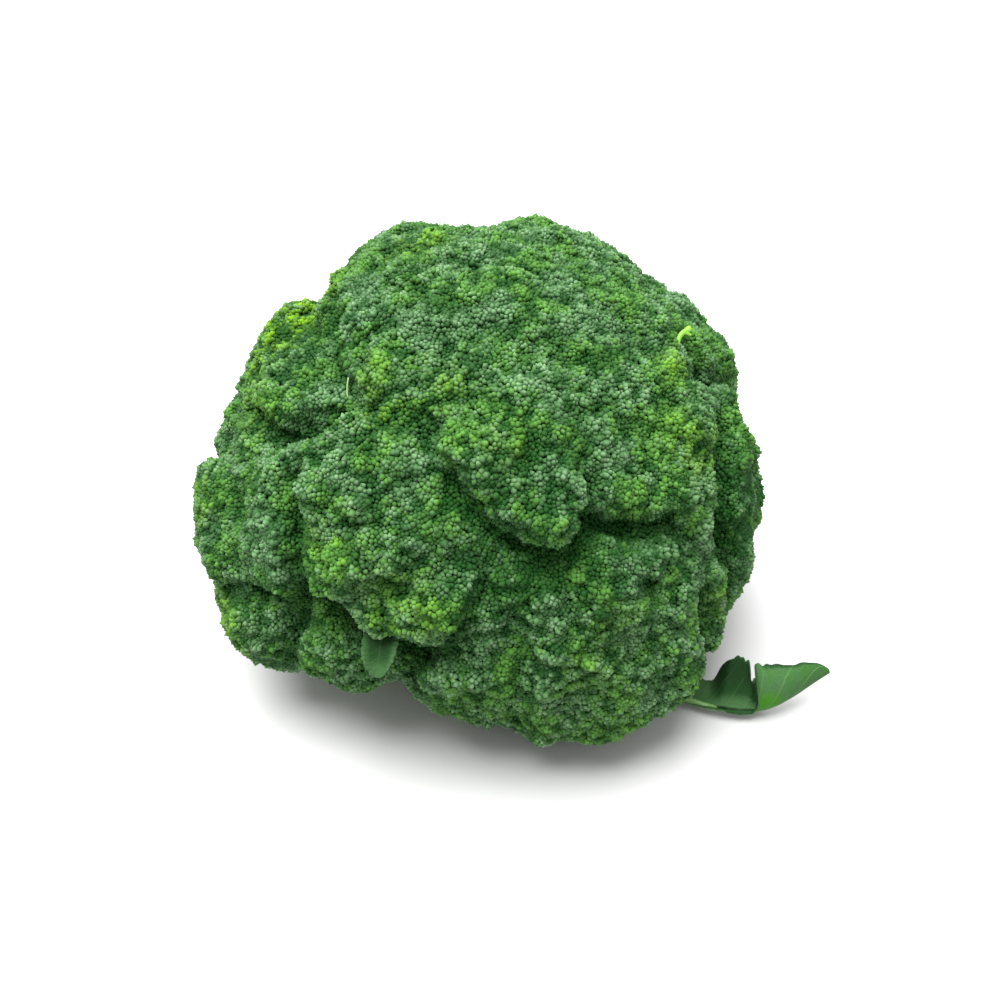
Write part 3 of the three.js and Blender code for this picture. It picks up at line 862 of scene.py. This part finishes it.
def bud_tree(bud_material, sun_places, shade_places):
    """Stands a bud on each place, and joins them with the body and stems that carry them."""
    tree = PieceTree("bud_tree", [
        ("Bud places", "NodeSocketGeometry"),
        ("Body", "NodeSocketObject"),
        ("Stems", "NodeSocketObject"),
        ("Girth", "NodeSocketFloat"),
        ("Clump rise", "NodeSocketFloat"),
        ("Unevenness", "NodeSocketFloat"),
        ("Bud shapes", "NodeSocketCollection"),
    ])
    points = tree.add("GeometryNodeMeshToPoints", None, {"Mesh": tree.given("Bud places")})
    points = clumped(tree, hued(tree, points, sun_places), shade_places)
    values = {"Collection": tree.given("Bud shapes"), "Separate Children": True, "Reset Children": True}
    values = {
        "Points": points,
        "Instance": tree.add("GeometryNodeCollectionInfo", None, values),
        "Pick Instance": True,
        "Rotation": bud_turn(tree),
        "Scale": tree.stored("gap") * tree.given("Girth") * tree.draw(*BUD_SIZES, seed=4),
    }
    buds = tree.add("GeometryNodeInstanceOnPoints", None, values)
    buds = tree.add("GeometryNodeRealizeInstances", None, {"Geometry": buds})
    buds = tree.add("GeometryNodeSetMaterial", None, {"Geometry": buds, "Material": bud_material})
    body = tree.add("GeometryNodeObjectInfo", None, {"Object": tree.given("Body")}, "Geometry")
    stems = tree.add("GeometryNodeObjectInfo", None, {"Object": tree.given("Stems")}, "Geometry")
    tree.end(tree.joined(body, stems, buds))
    return tree.tree


def applied(piece, tree, inputs):
    """Runs a geometry node tree on a piece and leaves the result as its plain mesh."""
    modifier = piece.modifiers.new("nodes", "NODES")
    modifier.node_group = tree
    for item in tree.interface.items_tree:
        if item.in_out == "INPUT" and item.name in inputs:
            modifier[item.identifier] = inputs[item.name]
    result = plain_mesh(piece)
    result.name = piece.name
    piece.data = result
    return piece


# ---------------------------------------------------------------------------
# The crown's skin
# ---------------------------------------------------------------------------
def spots_of(mesh, attribute="vertices", value="co"):
    flat = np.empty(3 * len(mesh.vertices))
    getattr(mesh, attribute).foreach_get(value, flat)
    return flat.reshape(-1, 3)


def normals_of(mesh):
    return spots_of(mesh, "vertex_normals", "vector")


def put_spots(mesh, spots):
    mesh.vertices.foreach_set("co", spots.ravel())
    mesh.update()


def values_of(mesh, name):
    values = np.empty(len(mesh.vertices))
    mesh.attributes[name].data.foreach_get("value", values)
    return values


def tree_of(mesh):
    corners = [vertex.co.copy() for vertex in mesh.vertices]
    return BVHTree.FromPolygons(corners, [tuple(face.vertices) for face in mesh.polygons])


def fused_florets(names):
    """One closed skin round all the florets' solids."""
    shape = bmesh.new()
    for name in names:
        solid = merged_copy(name, name)
        put_spots(solid, spots_of(solid) + normals_of(solid) * GAP_CLOSING)
        shape.from_mesh(solid)
        bpy.data.meshes.remove(solid)
    for middle, radius in BRANCH_ROUNDS:
        place = Matrix.Translation(Vector(middle) * MM)
        bmesh.ops.create_icosphere(shape, subdivisions=3, radius=radius * MM, matrix=place)
    mesh = bpy.data.meshes.new("crown")
    shape.to_mesh(mesh)
    shape.free()
    crown = new_object("crown", mesh)
    add_remesh(crown, CROWN_VOXEL)
    crown.data = largest_shell(plain_mesh(crown))
    return crown


def largest_shell(mesh):
    """Leaves only the mesh's largest closed shell."""
    shape = bmesh.new()
    shape.from_mesh(mesh)
    unseen = set(shape.verts)
    shells = []
    while unseen:
        shell, edge_of_shell = [], [unseen.pop()]
        while edge_of_shell:
            vert = edge_of_shell.pop()
            shell.append(vert)
            for edge in vert.link_edges:
                beside = edge.other_vert(vert)
                if beside in unseen:
                    unseen.remove(beside)
                    edge_of_shell.append(beside)
        shells.append(shell)
    shells.sort(key=len)
    for shell in shells[:-1]:
        bmesh.ops.delete(shape, geom=shell, context="VERTS")
    shape.to_mesh(mesh)
    shape.free()
    return mesh


def smoothed(mesh, steps):
    """The skin's spots, each drawn to the middle of its neighbours a number of times."""
    edges = np.empty(2 * len(mesh.edges), dtype=np.int64)
    mesh.edges.foreach_get("vertices", edges)
    start, end = edges[0::2], edges[1::2]
    count = len(mesh.vertices)
    degree = np.bincount(edges, minlength=count)
    spots = spots_of(mesh)
    for _ in range(steps):
        total = np.empty_like(spots)
        for axis in range(3):
            total[:, axis] = np.bincount(start, spots[end, axis], count)
            total[:, axis] += np.bincount(end, spots[start, axis], count)
        spots = (spots + total / degree[:, None]) / 2
    return spots


def fill_gaps(mesh):
    """Raises the bottoms of the gaps between florets, and leaves what stands out."""
    spots, normals = spots_of(mesh), normals_of(mesh)
    lift = np.einsum("ij,ij->i", smoothed(mesh, FILL_STEPS) - spots, normals)
    put_spots(mesh, spots + normals * np.clip(lift, 0, None)[:, None] * FILL_SHARE)


def on_crown(tree, direction):
    """The crown's outermost spot in a direction from the head's heart."""
    out = facing(*direction)
    hit = tree.ray_cast(HEAD_HEART + out * FAR_OUT, -out)
    return hit[0]


def raise_lobes(mesh):
    """Swells or flattens the skin round each lobe's middle."""
    tree = tree_of(mesh)
    spots = spots_of(mesh)
    rise = np.zeros(len(spots))
    for direction, height, reach in LOBES:
        far = np.linalg.norm(spots - np.array(on_crown(tree, direction)), axis=1)
        rise += height * MM * np.exp(-((far / (reach * MM)) ** 2))
    put_spots(mesh, spots + normals_of(mesh) * rise[:, None])


def open_creases(mesh):
    """Sinks the creases and pits into the skin, and lifts the lip over each crease."""
    tree = tree_of(mesh)
    spots = spots_of(mesh)
    sink = np.zeros(len(spots))
    for depth, width, lip, directions in CREASES:
        line = [np.array(on_crown(tree, direction)) for direction in directions]
        nearest = np.full(len(spots), np.inf)
        share = np.zeros(len(spots))
        above = np.zeros(len(spots))
        for index, (start, end) in enumerate(zip(line, line[1:])):
            run = end - start
            along = np.clip((spots - start) @ run / (run @ run), 0, 1)
            away = spots - start - along[:, None] * run
            far = np.linalg.norm(away, axis=1)
            closer = far < nearest
            nearest[closer] = far[closer]
            share[closer] = (index + along[closer]) / (len(line) - 1)
            above[closer] = away[closer, 2]
        taper = np.sin(math.pi * np.clip(share, *CREASE_ENDS)) ** CREASE_TAPER
        reach = nearest / (width * MM)
        sink -= depth * MM * taper * np.exp(-(reach**2))
        sink += lip * MM * taper * np.exp(-(((reach - LIP_PLACE) / LIP_WIDTH) ** 2)) * (above > 0)
    for direction, depth, reach in PITS:
        far = np.linalg.norm(spots - np.array(on_crown(tree, direction)), axis=1)
        sink -= depth * MM * np.exp(-((far / (reach * MM)) ** 2))
    put_spots(mesh, spots + normals_of(mesh) * np.clip(sink, -DEEPEST, HIGHEST)[:, None])
    crease = mesh.attributes.new("crease", "FLOAT", "POINT")
    crease.data.foreach_set("value", np.clip(-sink / FULL_CREASE, 0, 1))


def ease_folds(mesh):
    """Smooths the skin again where it still folds sharply."""
    shape = bmesh.new()
    shape.from_mesh(mesh)
    for _ in range(FOLD_STEPS):
        shape.normal_update()
        folds = [edge for edge in shape.edges if edge.calc_face_angle(0.0) > FOLD_ANGLE]
        sharp = {v for edge in folds for v in edge.verts}
        sharp |= {edge.other_vert(v) for v in sharp for edge in v.link_edges}
        bmesh.ops.smooth_vert(
            shape, verts=list(sharp), factor=0.5, use_axis_x=True, use_axis_y=True, use_axis_z=True)
    shape.to_mesh(mesh)
    shape.free()


def make_crown(names):
    """The skin, shaped, as a mesh with each spot's swell and outward turn."""
    crown = fused_florets(names)
    mesh = crown.data
    put_spots(mesh, spots_of(mesh) - normals_of(mesh) * SKIN_SINK)
    fill_gaps(mesh)
    raise_lobes(mesh)
    open_creases(mesh)
    put_spots(mesh, smoothed(mesh, EASE_STEPS))
    ease_folds(mesh)
    return applied(crown, crown_tree(), {
        "Lump rise": LUMP_RISE,
        "Stem heart": tuple(STEM_HEART),
    })


def floret_of_faces(mesh, names):
    """For each face of the skin, the floret whose solid is nearest."""
    corners, faces, owner = [], [], []
    for index, name in enumerate(names):
        solid = frame["nodes"][name].data
        start = len(corners)
        corners += [v.co.copy() for v in solid.vertices]
        faces += [tuple(start + c for c in face.vertices) for face in solid.polygons]
        owner += [index] * len(solid.polygons)
    tree = BVHTree.FromPolygons(corners, faces)
    return np.array([owner[tree.find_nearest(face.center)[2]] for face in mesh.polygons])


def settled(places, tree):
    """Moves bud places apart over the skin, and gives each one's distance to its neighbours."""
    count = len(places)
    for _ in range(SETTLE_STEPS):
        finder = KDTree(count)
        for index, place in enumerate(places):
            finder.insert(place, index)
        finder.balance()
        found = [finder.find_n(place, SETTLE_NEIGHBOURS + 1)[1:] for place in places]
        near = np.array([[index for _, index, _ in neighbours] for neighbours in found])
        away = places[:, None, :] - places[near]
        far = np.maximum(np.linalg.norm(away, axis=2, keepdims=True), 1e-6)
        push = (away / far * np.clip(BUD_PITCH - far, 0, None)).sum(axis=1)
        places = np.array([tree.find_nearest(place)[0] for place in places + SETTLE_PUSH * push])
    gaps = np.sort(np.linalg.norm(places[:, None, :] - places[near], axis=2), axis=1)
    return places, np.minimum(gaps[:, :GAP_NEIGHBOURS].mean(axis=1), WIDEST_GAP)


def sampled(mesh, tree, places):
    """The skin's face, smooth normal and swell at each place, the last lowered in a crease, as painted
    shade.
    """
    spots, normals = spots_of(mesh), normals_of(mesh)
    swell = values_of(mesh, "swell") * (1 - CREASE_SHADE * values_of(mesh, "crease"))
    hits = [tree.find_nearest(place)[2] for place in places]
    outs, swells = np.empty((len(places), 3)), np.empty(len(places))
    for index, (place, hit) in enumerate(zip(places, hits)):
        corners = list(mesh.polygons[hit].vertices)
        weight = 1 / (np.linalg.norm(spots[corners] - place, axis=1) + 1e-5)
        weight /= weight.sum()
        outs[index] = weight @ normals[corners]
        swells[index] = weight @ swell[corners]
    return np.array(hits), outs, swells


# ---------------------------------------------------------------------------
# Florets
# ---------------------------------------------------------------------------
BRANCHLETS = 11  # small stems that spread under one floret's buds
BRANCHLET_SIDES = 8
BRANCHLET_STEPS = 6
BRANCHLET_ROOT = 2.6 * MM
BRANCHLET_END = 1.1 * MM
BRANCHLET_START = 12.0  # degrees from the branch's line where they start
BRANCHLET_SPREAD = 84.0  # degrees from the branch's line where they end at the latest
BRANCHLET_INSET = 0.9 * MM  # how far their middles lie inside the floret's solid
BRANCHLET_REACH = 2.4 * MM  # they end where the skin is further off than this
OUTER_SKIN = 0.1  # turned out by more than this, the skin is the crown's outer side
OUTER_COVER = 4 * MM  # less deep than this under the outer skin, a small stem could show
FEWEST_PLACES = 3  # a small stem with fewer places along it is left out
BODY_APEX = 0.5  # share of the way from a floret's middle to the heart where its body closes


def shows(spot, body_tree, outward):
    """Whether a spot lies outside the crown's outer skin, or just under it."""
    out = (spot - HEAD_HEART).normalized()
    hit = body_tree.ray_cast(HEAD_HEART + out * FAR_OUT, -out)
    if hit[0] is None or outward[hit[2]] <= OUTER_SKIN:
        return False
    return (hit[0] - spot).dot(out) < OUTER_COVER


def branchlets(name, axis, body_tree, outward, material, draw):
    """Small stems that spread from the top of a floret's branch under its buds."""
    tree = tree_of(frame["nodes"][name].data)
    low, high = (Vector(corner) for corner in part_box(name))
    middle = (low + high) / 2
    side = axis.orthogonal().normalized()
    parts = []
    for index in range(BRANCHLETS):
        round_axis = Quaternion(axis, 2 * math.pi * (index + draw.uniform(-0.25, 0.25)) / BRANCHLETS)
        out = round_axis @ side
        path = []
        for step in range(BRANCHLET_STEPS):
            share = step / (BRANCHLET_STEPS - 1)
            lean = math.radians(BRANCHLET_START + (BRANCHLET_SPREAD - BRANCHLET_START) * share)
            direction = out * math.sin(lean) - axis * math.cos(lean)
            spot = tree.ray_cast(middle, direction)[0] - direction * BRANCHLET_INSET
            _, _, face, far = body_tree.find_nearest(spot)
            if far > BRANCHLET_REACH or outward[face] > OUTER_SKIN:
                break
            if shows(spot, body_tree, outward):
                break
            path.append(spot)
        if len(path) < FEWEST_PLACES:
            continue
        drop = (BRANCHLET_END - BRANCHLET_ROOT) / (BRANCHLET_STEPS - 1)
        radii = [BRANCHLET_ROOT + drop * i for i in range(len(path))]
        parts.append(tube(path, radii, BRANCHLET_SIDES))
    points, faces, reach = join_parts(parts)
    return mesh_from("branchlets", points, faces, material, {"reach": reach})


def sunk_under(crown, finder):
    """The skin's spots moved inwards, less where the crown is thin."""
    spots, normals = spots_of(crown), normals_of(crown)
    sink = np.full(len(spots), BODY_SINK)
    for index, (spot, normal) in enumerate(zip(spots, normals)):
        inwards = Vector(-normal)
        hit = finder.ray_cast(Vector(spot) + inwards * RAY_START, inwards, THIN_REACH)
        if hit[0] is not None:
            sink[index] = min(BODY_SINK, THIN_SHARE * hit[3])
    return spots - normals * sink[:, None]


def body_of(crown, sunk, owners, index, apex, material):
    """A floret's share of the sunk skin, closed by a fan to a spot inside it."""
    faces = [tuple(crown.polygons[f].vertices) for f in np.flatnonzero(owners == index)]
    used = sorted({corner for face in faces for corner in face})
    renumber = {old: new for new, old in enumerate(used)}
    faces = [tuple(renumber[corner] for corner in face) for face in faces]
    points = [tuple(p) for p in sunk[used]] + [tuple(apex)]
    runs = {(a, b) for face in faces for a, b in zip(face, face[1:] + face[:1])}
    faces += [(b, a, len(used)) for a, b in sorted(runs) if (b, a) not in runs]
    outward, crease = values_of(crown, "outward")[used], values_of(crown, "crease")[used]
    # Painted shade takes the pale underside back to dark in the creases.
    under = np.clip((PALE_START - outward) / PALE_SPAN, 0, 1) * np.clip(1 - PALE_FADE * crease, 0, 1)
    return mesh_from("body", points, faces, material, {"under": np.append(under, 0)})


def tendril(name, spot, normal, bends, radii, material):
    """A small shoot that follows bends, each so far right, up and out from a spot on the skin."""
    aside = Vector((0, 0, 1)).cross(normal).normalized()
    rise = normal.cross(aside)
    line = [spot + (aside * right + rise * up + normal * out) * MM for right, up, out in bends]
    steps = SHOOT_STEPS * (len(line) - 1)
    path = [through(line, step / steps) for step in range(steps + 1)]
    start, end = radii
    widths = [(start + (end - start) * step / steps) * MM for step in range(steps + 1)]
    points, faces, reach = tube(path, widths, SHOOT_SIDES)
    return new_object(name, mesh_from(name, points, faces, material, {"reach": reach}))


def make_shoots(crown_finder, owners):
    """The small shoots that stand on the crown, each with the floret that it stands on."""
    skins = {
        "fresh": sprout_skin("fresh_sprout_skin", *FRESH_SPROUT),
        "dry": sprout_skin("dry_stem_skin", *DRY_SPROUT),
    }
    shoots = []
    for direction, bends, radii, kind in SHOOTS:
        out = facing(*direction)
        spot, normal, face, _ = crown_finder.ray_cast(HEAD_HEART + out * FAR_OUT, -out)
        shoots.append((owners[face], tendril("shoot", spot, normal, bends, radii, skins[kind])))
    return shoots


def placed(patch_list, tree):
    """Patches with their middles on the crown, in metres."""
    return [(on_crown(tree, spot), reach * MM, strength) for spot, reach, strength in patch_list]


def make_florets():
    """The fused crown, its buds and stems and its shoots, shared out to the florets."""
    names = sorted(name for name in frame["nodes"] if name.startswith("floret_"))
    crown_object = make_crown(names)
    crown = crown_object.data
    owners = floret_of_faces(crown, names)
    crown_finder = tree_of(crown)
    sunk = sunk_under(crown, crown_finder)
    turned = values_of(crown, "outward")
    outward = [turned[list(face.vertices)].mean() for face in crown.polygons]
    strewn = applied(new_object("strewn", crown.copy()), strewing_tree(), {
        "Spacing": BUD_SPACING,
        "Underside limit": UNDERSIDE_LIMIT,
        "Seed": SEED,
    })
    places, gap = settled(spots_of(strewn.data), crown_finder)
    hits, outs, swell = sampled(crown, crown_finder, places)
    bud_owner = owners[hits]
    shoots = make_shoots(crown_finder, owners)
    shapes = bud_shapes()
    sun_places, shade_places = placed(SUN_PATCHES, crown_finder), placed(SHADE_PATCHES, crown_finder)
    tree = bud_tree(bud_skin(), sun_places, shade_places)
    body_material = floret_body_skin()
    draw = np.random.default_rng(SEED)
    for index, name in enumerate(names):
        low, high = (Vector(corner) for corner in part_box(name))
        middle = (low + high) / 2
        axis = (middle - STEM_HEART).normalized()
        mine = bud_owner == index
        values = {"gap": gap[mine], "swell": swell[mine]}
        spots = mesh_from("spots", places[mine], [], None, values, {"out": outs[mine]})
        piece = new_object("buds_" + name, spots)
        apex = middle.lerp(HEAD_HEART, BODY_APEX)
        body = new_object("body", body_of(crown, sunk, owners, index, apex, body_material))
        stem_mesh = branchlets(name, axis, crown_finder, outward, branchlet_material, draw)
        stems = new_object("stems", stem_mesh)
        applied(piece, tree, {
            "Body": body,
            "Stems": stems,
            "Girth": GIRTH,
            "Clump rise": CLUMP_RISE,
            "Unevenness": BUD_UNEVENNESS,
            "Bud shapes": shapes,
        })
        bpy.data.objects.remove(body)
        bpy.data.objects.remove(stems)
        for shoot in [shoot for owner, shoot in shoots if owner == index]:
            join_into(piece, shoot)
        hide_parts(name)
        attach(piece, "root")
    for spare in (crown_object, strewn, *shapes.objects):
        bpy.data.objects.remove(spare)
    bpy.data.collections.remove(shapes)


# ---------------------------------------------------------------------------
# Stalk
# ---------------------------------------------------------------------------
STALK_VOXEL = 1.7 * MM
STALK_SMOOTHING = 0.6
STALK_ROUNDS = 4  # rounds of smoothing
CUT_REACH = 1.0 * MM  # what lies lower than this is drawn flat to the cut face


def make_stalk():
    """The stem and its branches as one smooth skin, flat at the cut."""
    piece = new_object("stalk_skin", merged_copy("stalk_skin", "stalk"))
    add_remesh(piece, STALK_VOXEL)
    smooth = piece.modifiers.new("smooth", "SMOOTH")
    smooth.factor = STALK_SMOOTHING
    smooth.iterations = STALK_ROUNDS
    mesh = plain_mesh(piece)
    piece.data = mesh
    for vertex in mesh.vertices:
        vertex.co.z = 0.0 if vertex.co.z < CUT_REACH else vertex.co.z
    mesh.polygons.foreach_set("use_smooth", [True] * len(mesh.polygons))
    mesh.materials.clear()
    mesh.materials.append(stalk_skin())
    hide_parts("stalk")
    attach(piece, "root")


# ---------------------------------------------------------------------------
# Leaves
# ---------------------------------------------------------------------------
LEAF_ROWS = 96
LEAF_STRIPS = 12  # in each half of a leaf
RIB_THICKNESS = 1.0 * MM
EDGE_THICKNESS = 0.5 * MM
LEAF_VEINS = 7.0  # side veins along each half
RIB_FOLD = 0.6  # share of a half's fold that it has at the midrib
RAG, RAG_TURNS = 0.03, 47  # rise and pace of the rags in a leaf's edge
FINE_RAG, FINE_RAG_TURNS = 0.015, 113
RUFFLE, RUFFLES = 0.15, 13  # rise, in mm, and number of the edge's small ruffles
PETIOLE_STEPS = 14
PETIOLE_SIDES = 10
PETIOLE_DROP = 0.3 * MM  # how far the petiole's end lies under the spine
PETIOLE_ROOT = 0.7  # where its colour starts on the way to the small stems' tops


def smooth_step(value, low, high):
    """Goes smoothly from 0 to 1 as a value goes from low to high."""
    share = min(1.0, max(0.0, (value - low) / (high - low)))
    return share * share * (3 - 2 * share)


class Half:
    """One half of a leaf: its width and fold along it, and the waves of its edge."""

    def __init__(self, width, fold, wave, waves, phase):
        self.width = width
        self.fold = fold
        self.wave = wave
        self.waves = waves
        self.phase = phase


def blade(spine, start, halves, tip_width):
    """Points, faces, back-ness and spots of a leaf's blade, from its midrib's spine."""
    across = 2 * LEAF_STRIPS + 1
    surface = np.zeros((LEAF_ROWS + 1, across, 3))
    spots = np.zeros((LEAF_ROWS + 1, across, 3))
    thick = np.zeros((LEAF_ROWS + 1, across))
    for row in range(LEAF_ROWS + 1):
        share = row / LEAF_ROWS
        along = start + (1 - start) * share
        middle, ahead = through(spine, along), heading(spine, along)
        side = Vector((0, 0, 1)).cross(ahead).normalized()
        up = ahead.cross(side).normalized()
        for strip in range(-LEAF_STRIPS, LEAF_STRIPS + 1):
            half = halves[0 if strip < 0 else 1]
            out = abs(strip) / LEAF_STRIPS
            ragged = RAG * math.sin(RAG_TURNS * share + half.phase)
            ragged += FINE_RAG * math.sin(FINE_RAG_TURNS * share)
            width = max(tip_width, half.width(share)) * (1 + ragged * out)
            fold = math.radians(half.fold(share) * (RIB_FOLD + (1 - RIB_FOLD) * out))
            wave = half.wave * out**2 * math.sin(2 * math.pi * half.waves * share + half.phase)
            ruffle = RUFFLE * out**3 * math.sin(2 * math.pi * RUFFLES * share + 2 * half.phase)
            reach = math.copysign(out * width, strip)
            point = middle + side * (reach * math.cos(fold) * MM)
            point += up * ((out * width * math.sin(fold) + wave + ruffle) * MM)
            surface[row, strip + LEAF_STRIPS] = point
            spots[row, strip + LEAF_STRIPS] = (share, math.copysign(out, strip), 0)
            at_rib = (RIB_THICKNESS - EDGE_THICKNESS) * (1 - out) ** 3
            thick[row, strip + LEAF_STRIPS] = EDGE_THICKNESS + at_rib
    normals = np.cross(np.gradient(surface, axis=0), np.gradient(surface, axis=1))
    normals /= np.linalg.norm(normals, axis=2, keepdims=True)
    offset = normals * thick[:, :, None] / 2
    points = np.concatenate([(surface + offset).reshape(-1, 3), (surface - offset).reshape(-1, 3)])
    count = (LEAF_ROWS + 1) * across
    grid = np.arange(count).reshape(LEAF_ROWS + 1, across)
    corners = np.stack([grid[:-1, :-1], grid[1:, :-1], grid[1:, 1:], grid[:-1, 1:]], axis=-1)
    corners = corners.reshape(-1, 4)
    faces = [tuple(face) for face in corners.tolist()]
    faces += [tuple(face[::-1]) for face in (corners + count).tolist()]
    rim = np.concatenate([grid[:, 0], grid[-1, 1:], grid[-2::-1, -1], grid[0, -2:0:-1]]).tolist()
    for here, beside in zip(rim, rim[1:] + rim[:1]):
        faces.append((beside, here, here + count, beside + count))
    back = np.repeat([0.0, 1.0], count)
    return points, faces, back, np.concatenate([spots.reshape(-1, 3)] * 2)


def petiole(spine, until, start_radius, end_radius):
    """A leaf's own stem, which follows a share of its spine."""
    path, radii = [], []
    for step in range(PETIOLE_STEPS + 1):
        drop = Vector((0, 0, PETIOLE_DROP * step / PETIOLE_STEPS))
        path.append(through(spine, until * step / PETIOLE_STEPS) - drop)
        radii.append((start_radius + (end_radius - start_radius) * step / PETIOLE_STEPS) * MM)
    return tube(path, radii, PETIOLE_SIDES)


def make_leaf(name, node, spine, start, halves, tip_width, stem, lobed):
    """A leaf's blade and petiole as one piece that replaces a CAD node."""
    spine = [Vector(point) * MM for point in spine]
    material = leaf_skin(name + "_skin", LEAF_VEINS, lobed)
    points, faces, back, spots = blade(spine, start, halves, tip_width)
    piece = new_object(name, mesh_from(name, points, faces, material, {"back": back}, {"spot": spots}))
    points, faces, reach = petiole(spine, *stem)
    reach = [PETIOLE_ROOT + (1 - PETIOLE_ROOT) * share for share in reach]
    stalk = mesh_from("petiole", points, faces, branchlet_material, {"reach": reach})
    join_into(piece, new_object("petiole", stalk))
    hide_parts(node)
    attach(piece, "root")


def make_right_leaf():
    """The curled leaf: its far half stands up in a lobe, and its near half curls back over."""
    spine = [
        (16.5, -14.5, 5),
        (34, -33, 4.2),
        (54, -50, 4),
        (72, -58.5, 3.4),
        (86, -59.5, 4.2),
        (105.5, -52, 11.8),
    ]

    def far_width(share):
        flat = 9 * smooth_step(share, -0.1, 0.12) * (1 - smooth_step(share, 0.64, 0.72))
        lobe = 7.6 * smooth_step(share, 0.26, 0.37) * (1 - smooth_step(share, 0.53, 0.58))
        return flat + lobe + 5 * (1 - share) * smooth_step(share, 0.6, 0.72)

    def near_width(share):
        if share < 0.58:
            return 1.2
        return 14.3 * min(1, (1 - share) / 0.26) ** 0.6 * (0.1 + 0.9 * smooth_step(share, 0.58, 0.63))

    far = Half(
        width=far_width,
        fold=lambda share: 12 + 58 * smooth_step(share, 0.24, 0.36) - 30 * smooth_step(share, 0.54, 0.66),
        wave=0.5,
        waves=3,
        phase=0.4,
    )
    near = Half(
        width=near_width,
        fold=lambda share: 5 + 106 * smooth_step(share, 0.55, 0.62),
        wave=0.5,
        waves=3,
        phase=2,
    )
    make_leaf("curled_leaf", "leaf_right", spine, 0.42, [near, far], 0.8, (0.6, 2.6, 0.9), True)


def make_front_left_leaf():
    """The small leaf, whose tip hangs out under the florets."""
    spine = [
        (-10.5, -18, 8),
        (-14, -32, 22),
        (-18, -49, 40),
        (-20.8, -64, 50),
        (-22.3, -77, 50.5),
        (-23.2, -84, 43),
    ]
    half = Half(
        width=lambda share: 4.9 * math.sin(math.pi * min(1, 0.1 + share * 0.9)) ** 0.5,
        fold=lambda share: 12 + 20 * share,
        wave=0.4,
        waves=1.5,
        phase=1,
    )
    make_leaf("small_leaf", "leaf_front_left", spine, 0.72, [half, half], 0.8, (0.8, 1.9, 0.9), False)


# ---------------------------------------------------------------------------
# The stage
# ---------------------------------------------------------------------------
CLIP_START = 0.01
KEY_PLACE = Vector((-0.20, 0.0, 1.0))  # the direction that the key light comes from
KEY_POWER = 7.5
KEY_SPREAD = math.radians(50)
SKY_AT_HORIZON = 0.30
SKY_OVERHEAD = 1.25
FLOOR_REACH = 4.0


def look_at(place, target):
    return (target - place).to_track_quat("-Z", "Y").to_euler()


def make_camera():
    camera = bpy.data.objects.new("camera", bpy.data.cameras.new("camera"))
    bpy.context.scene.collection.objects.link(camera)
    camera.data.lens = FOCAL_LENGTH
    camera.data.sensor_width = SENSOR_WIDTH
    camera.data.clip_start = CLIP_START
    camera.location = CAMERA_PLACE
    camera.rotation_euler = look_at(CAMERA_PLACE, CAMERA_TARGET)
    bpy.context.scene.camera = camera


def make_light():
    """A broad soft key from overhead, a little to the left, and a sky that is brightest overhead."""
    lamp = bpy.data.lights.new("key", "SUN")
    lamp.energy = KEY_POWER
    lamp.angle = KEY_SPREAD
    holder = bpy.data.objects.new("key", lamp)
    bpy.context.scene.collection.objects.link(holder)
    holder.rotation_euler = look_at(KEY_PLACE, Vector((0, 0, 0)))
    world = bpy.data.worlds.new("studio")
    world.use_nodes = True
    sky = Graph(world.node_tree)
    background = world.node_tree.nodes["Background"]
    background.inputs["Color"].default_value = (1.0, 1.0, 1.0, 1.0)
    direction = sky.add("ShaderNodeTexCoord", output="Generated")
    height = sky.add("ShaderNodeSeparateXYZ", None, {0: direction}, "Z")
    sky.put(background, "Strength", height.ramp(0.0, 1.0, SKY_AT_HORIZON, SKY_OVERHEAD))
    bpy.context.scene.world = world
    bpy.context.scene.view_settings.view_transform = "Standard"


def make_floor():
    corners = [(x * FLOOR_REACH, y * FLOOR_REACH, 0) for x, y in ((-1, -1), (1, -1), (1, 1), (-1, 1))]
    skin = Skin("floor_skin", 0.7, 0.2)
    shade = skin.noise(3.0)
    material = skin.finish(skin.blend(shade * 0.1, FLOOR_GREY, FLOOR_SHADE))
    new_object("floor", mesh_from("floor", corners, [(0, 1, 2, 3)], material))


make_camera()
make_light()
make_floor()
branchlet_material = branchlet_skin()
make_florets()
make_stalk()
make_right_leaf()
make_front_left_leaf()
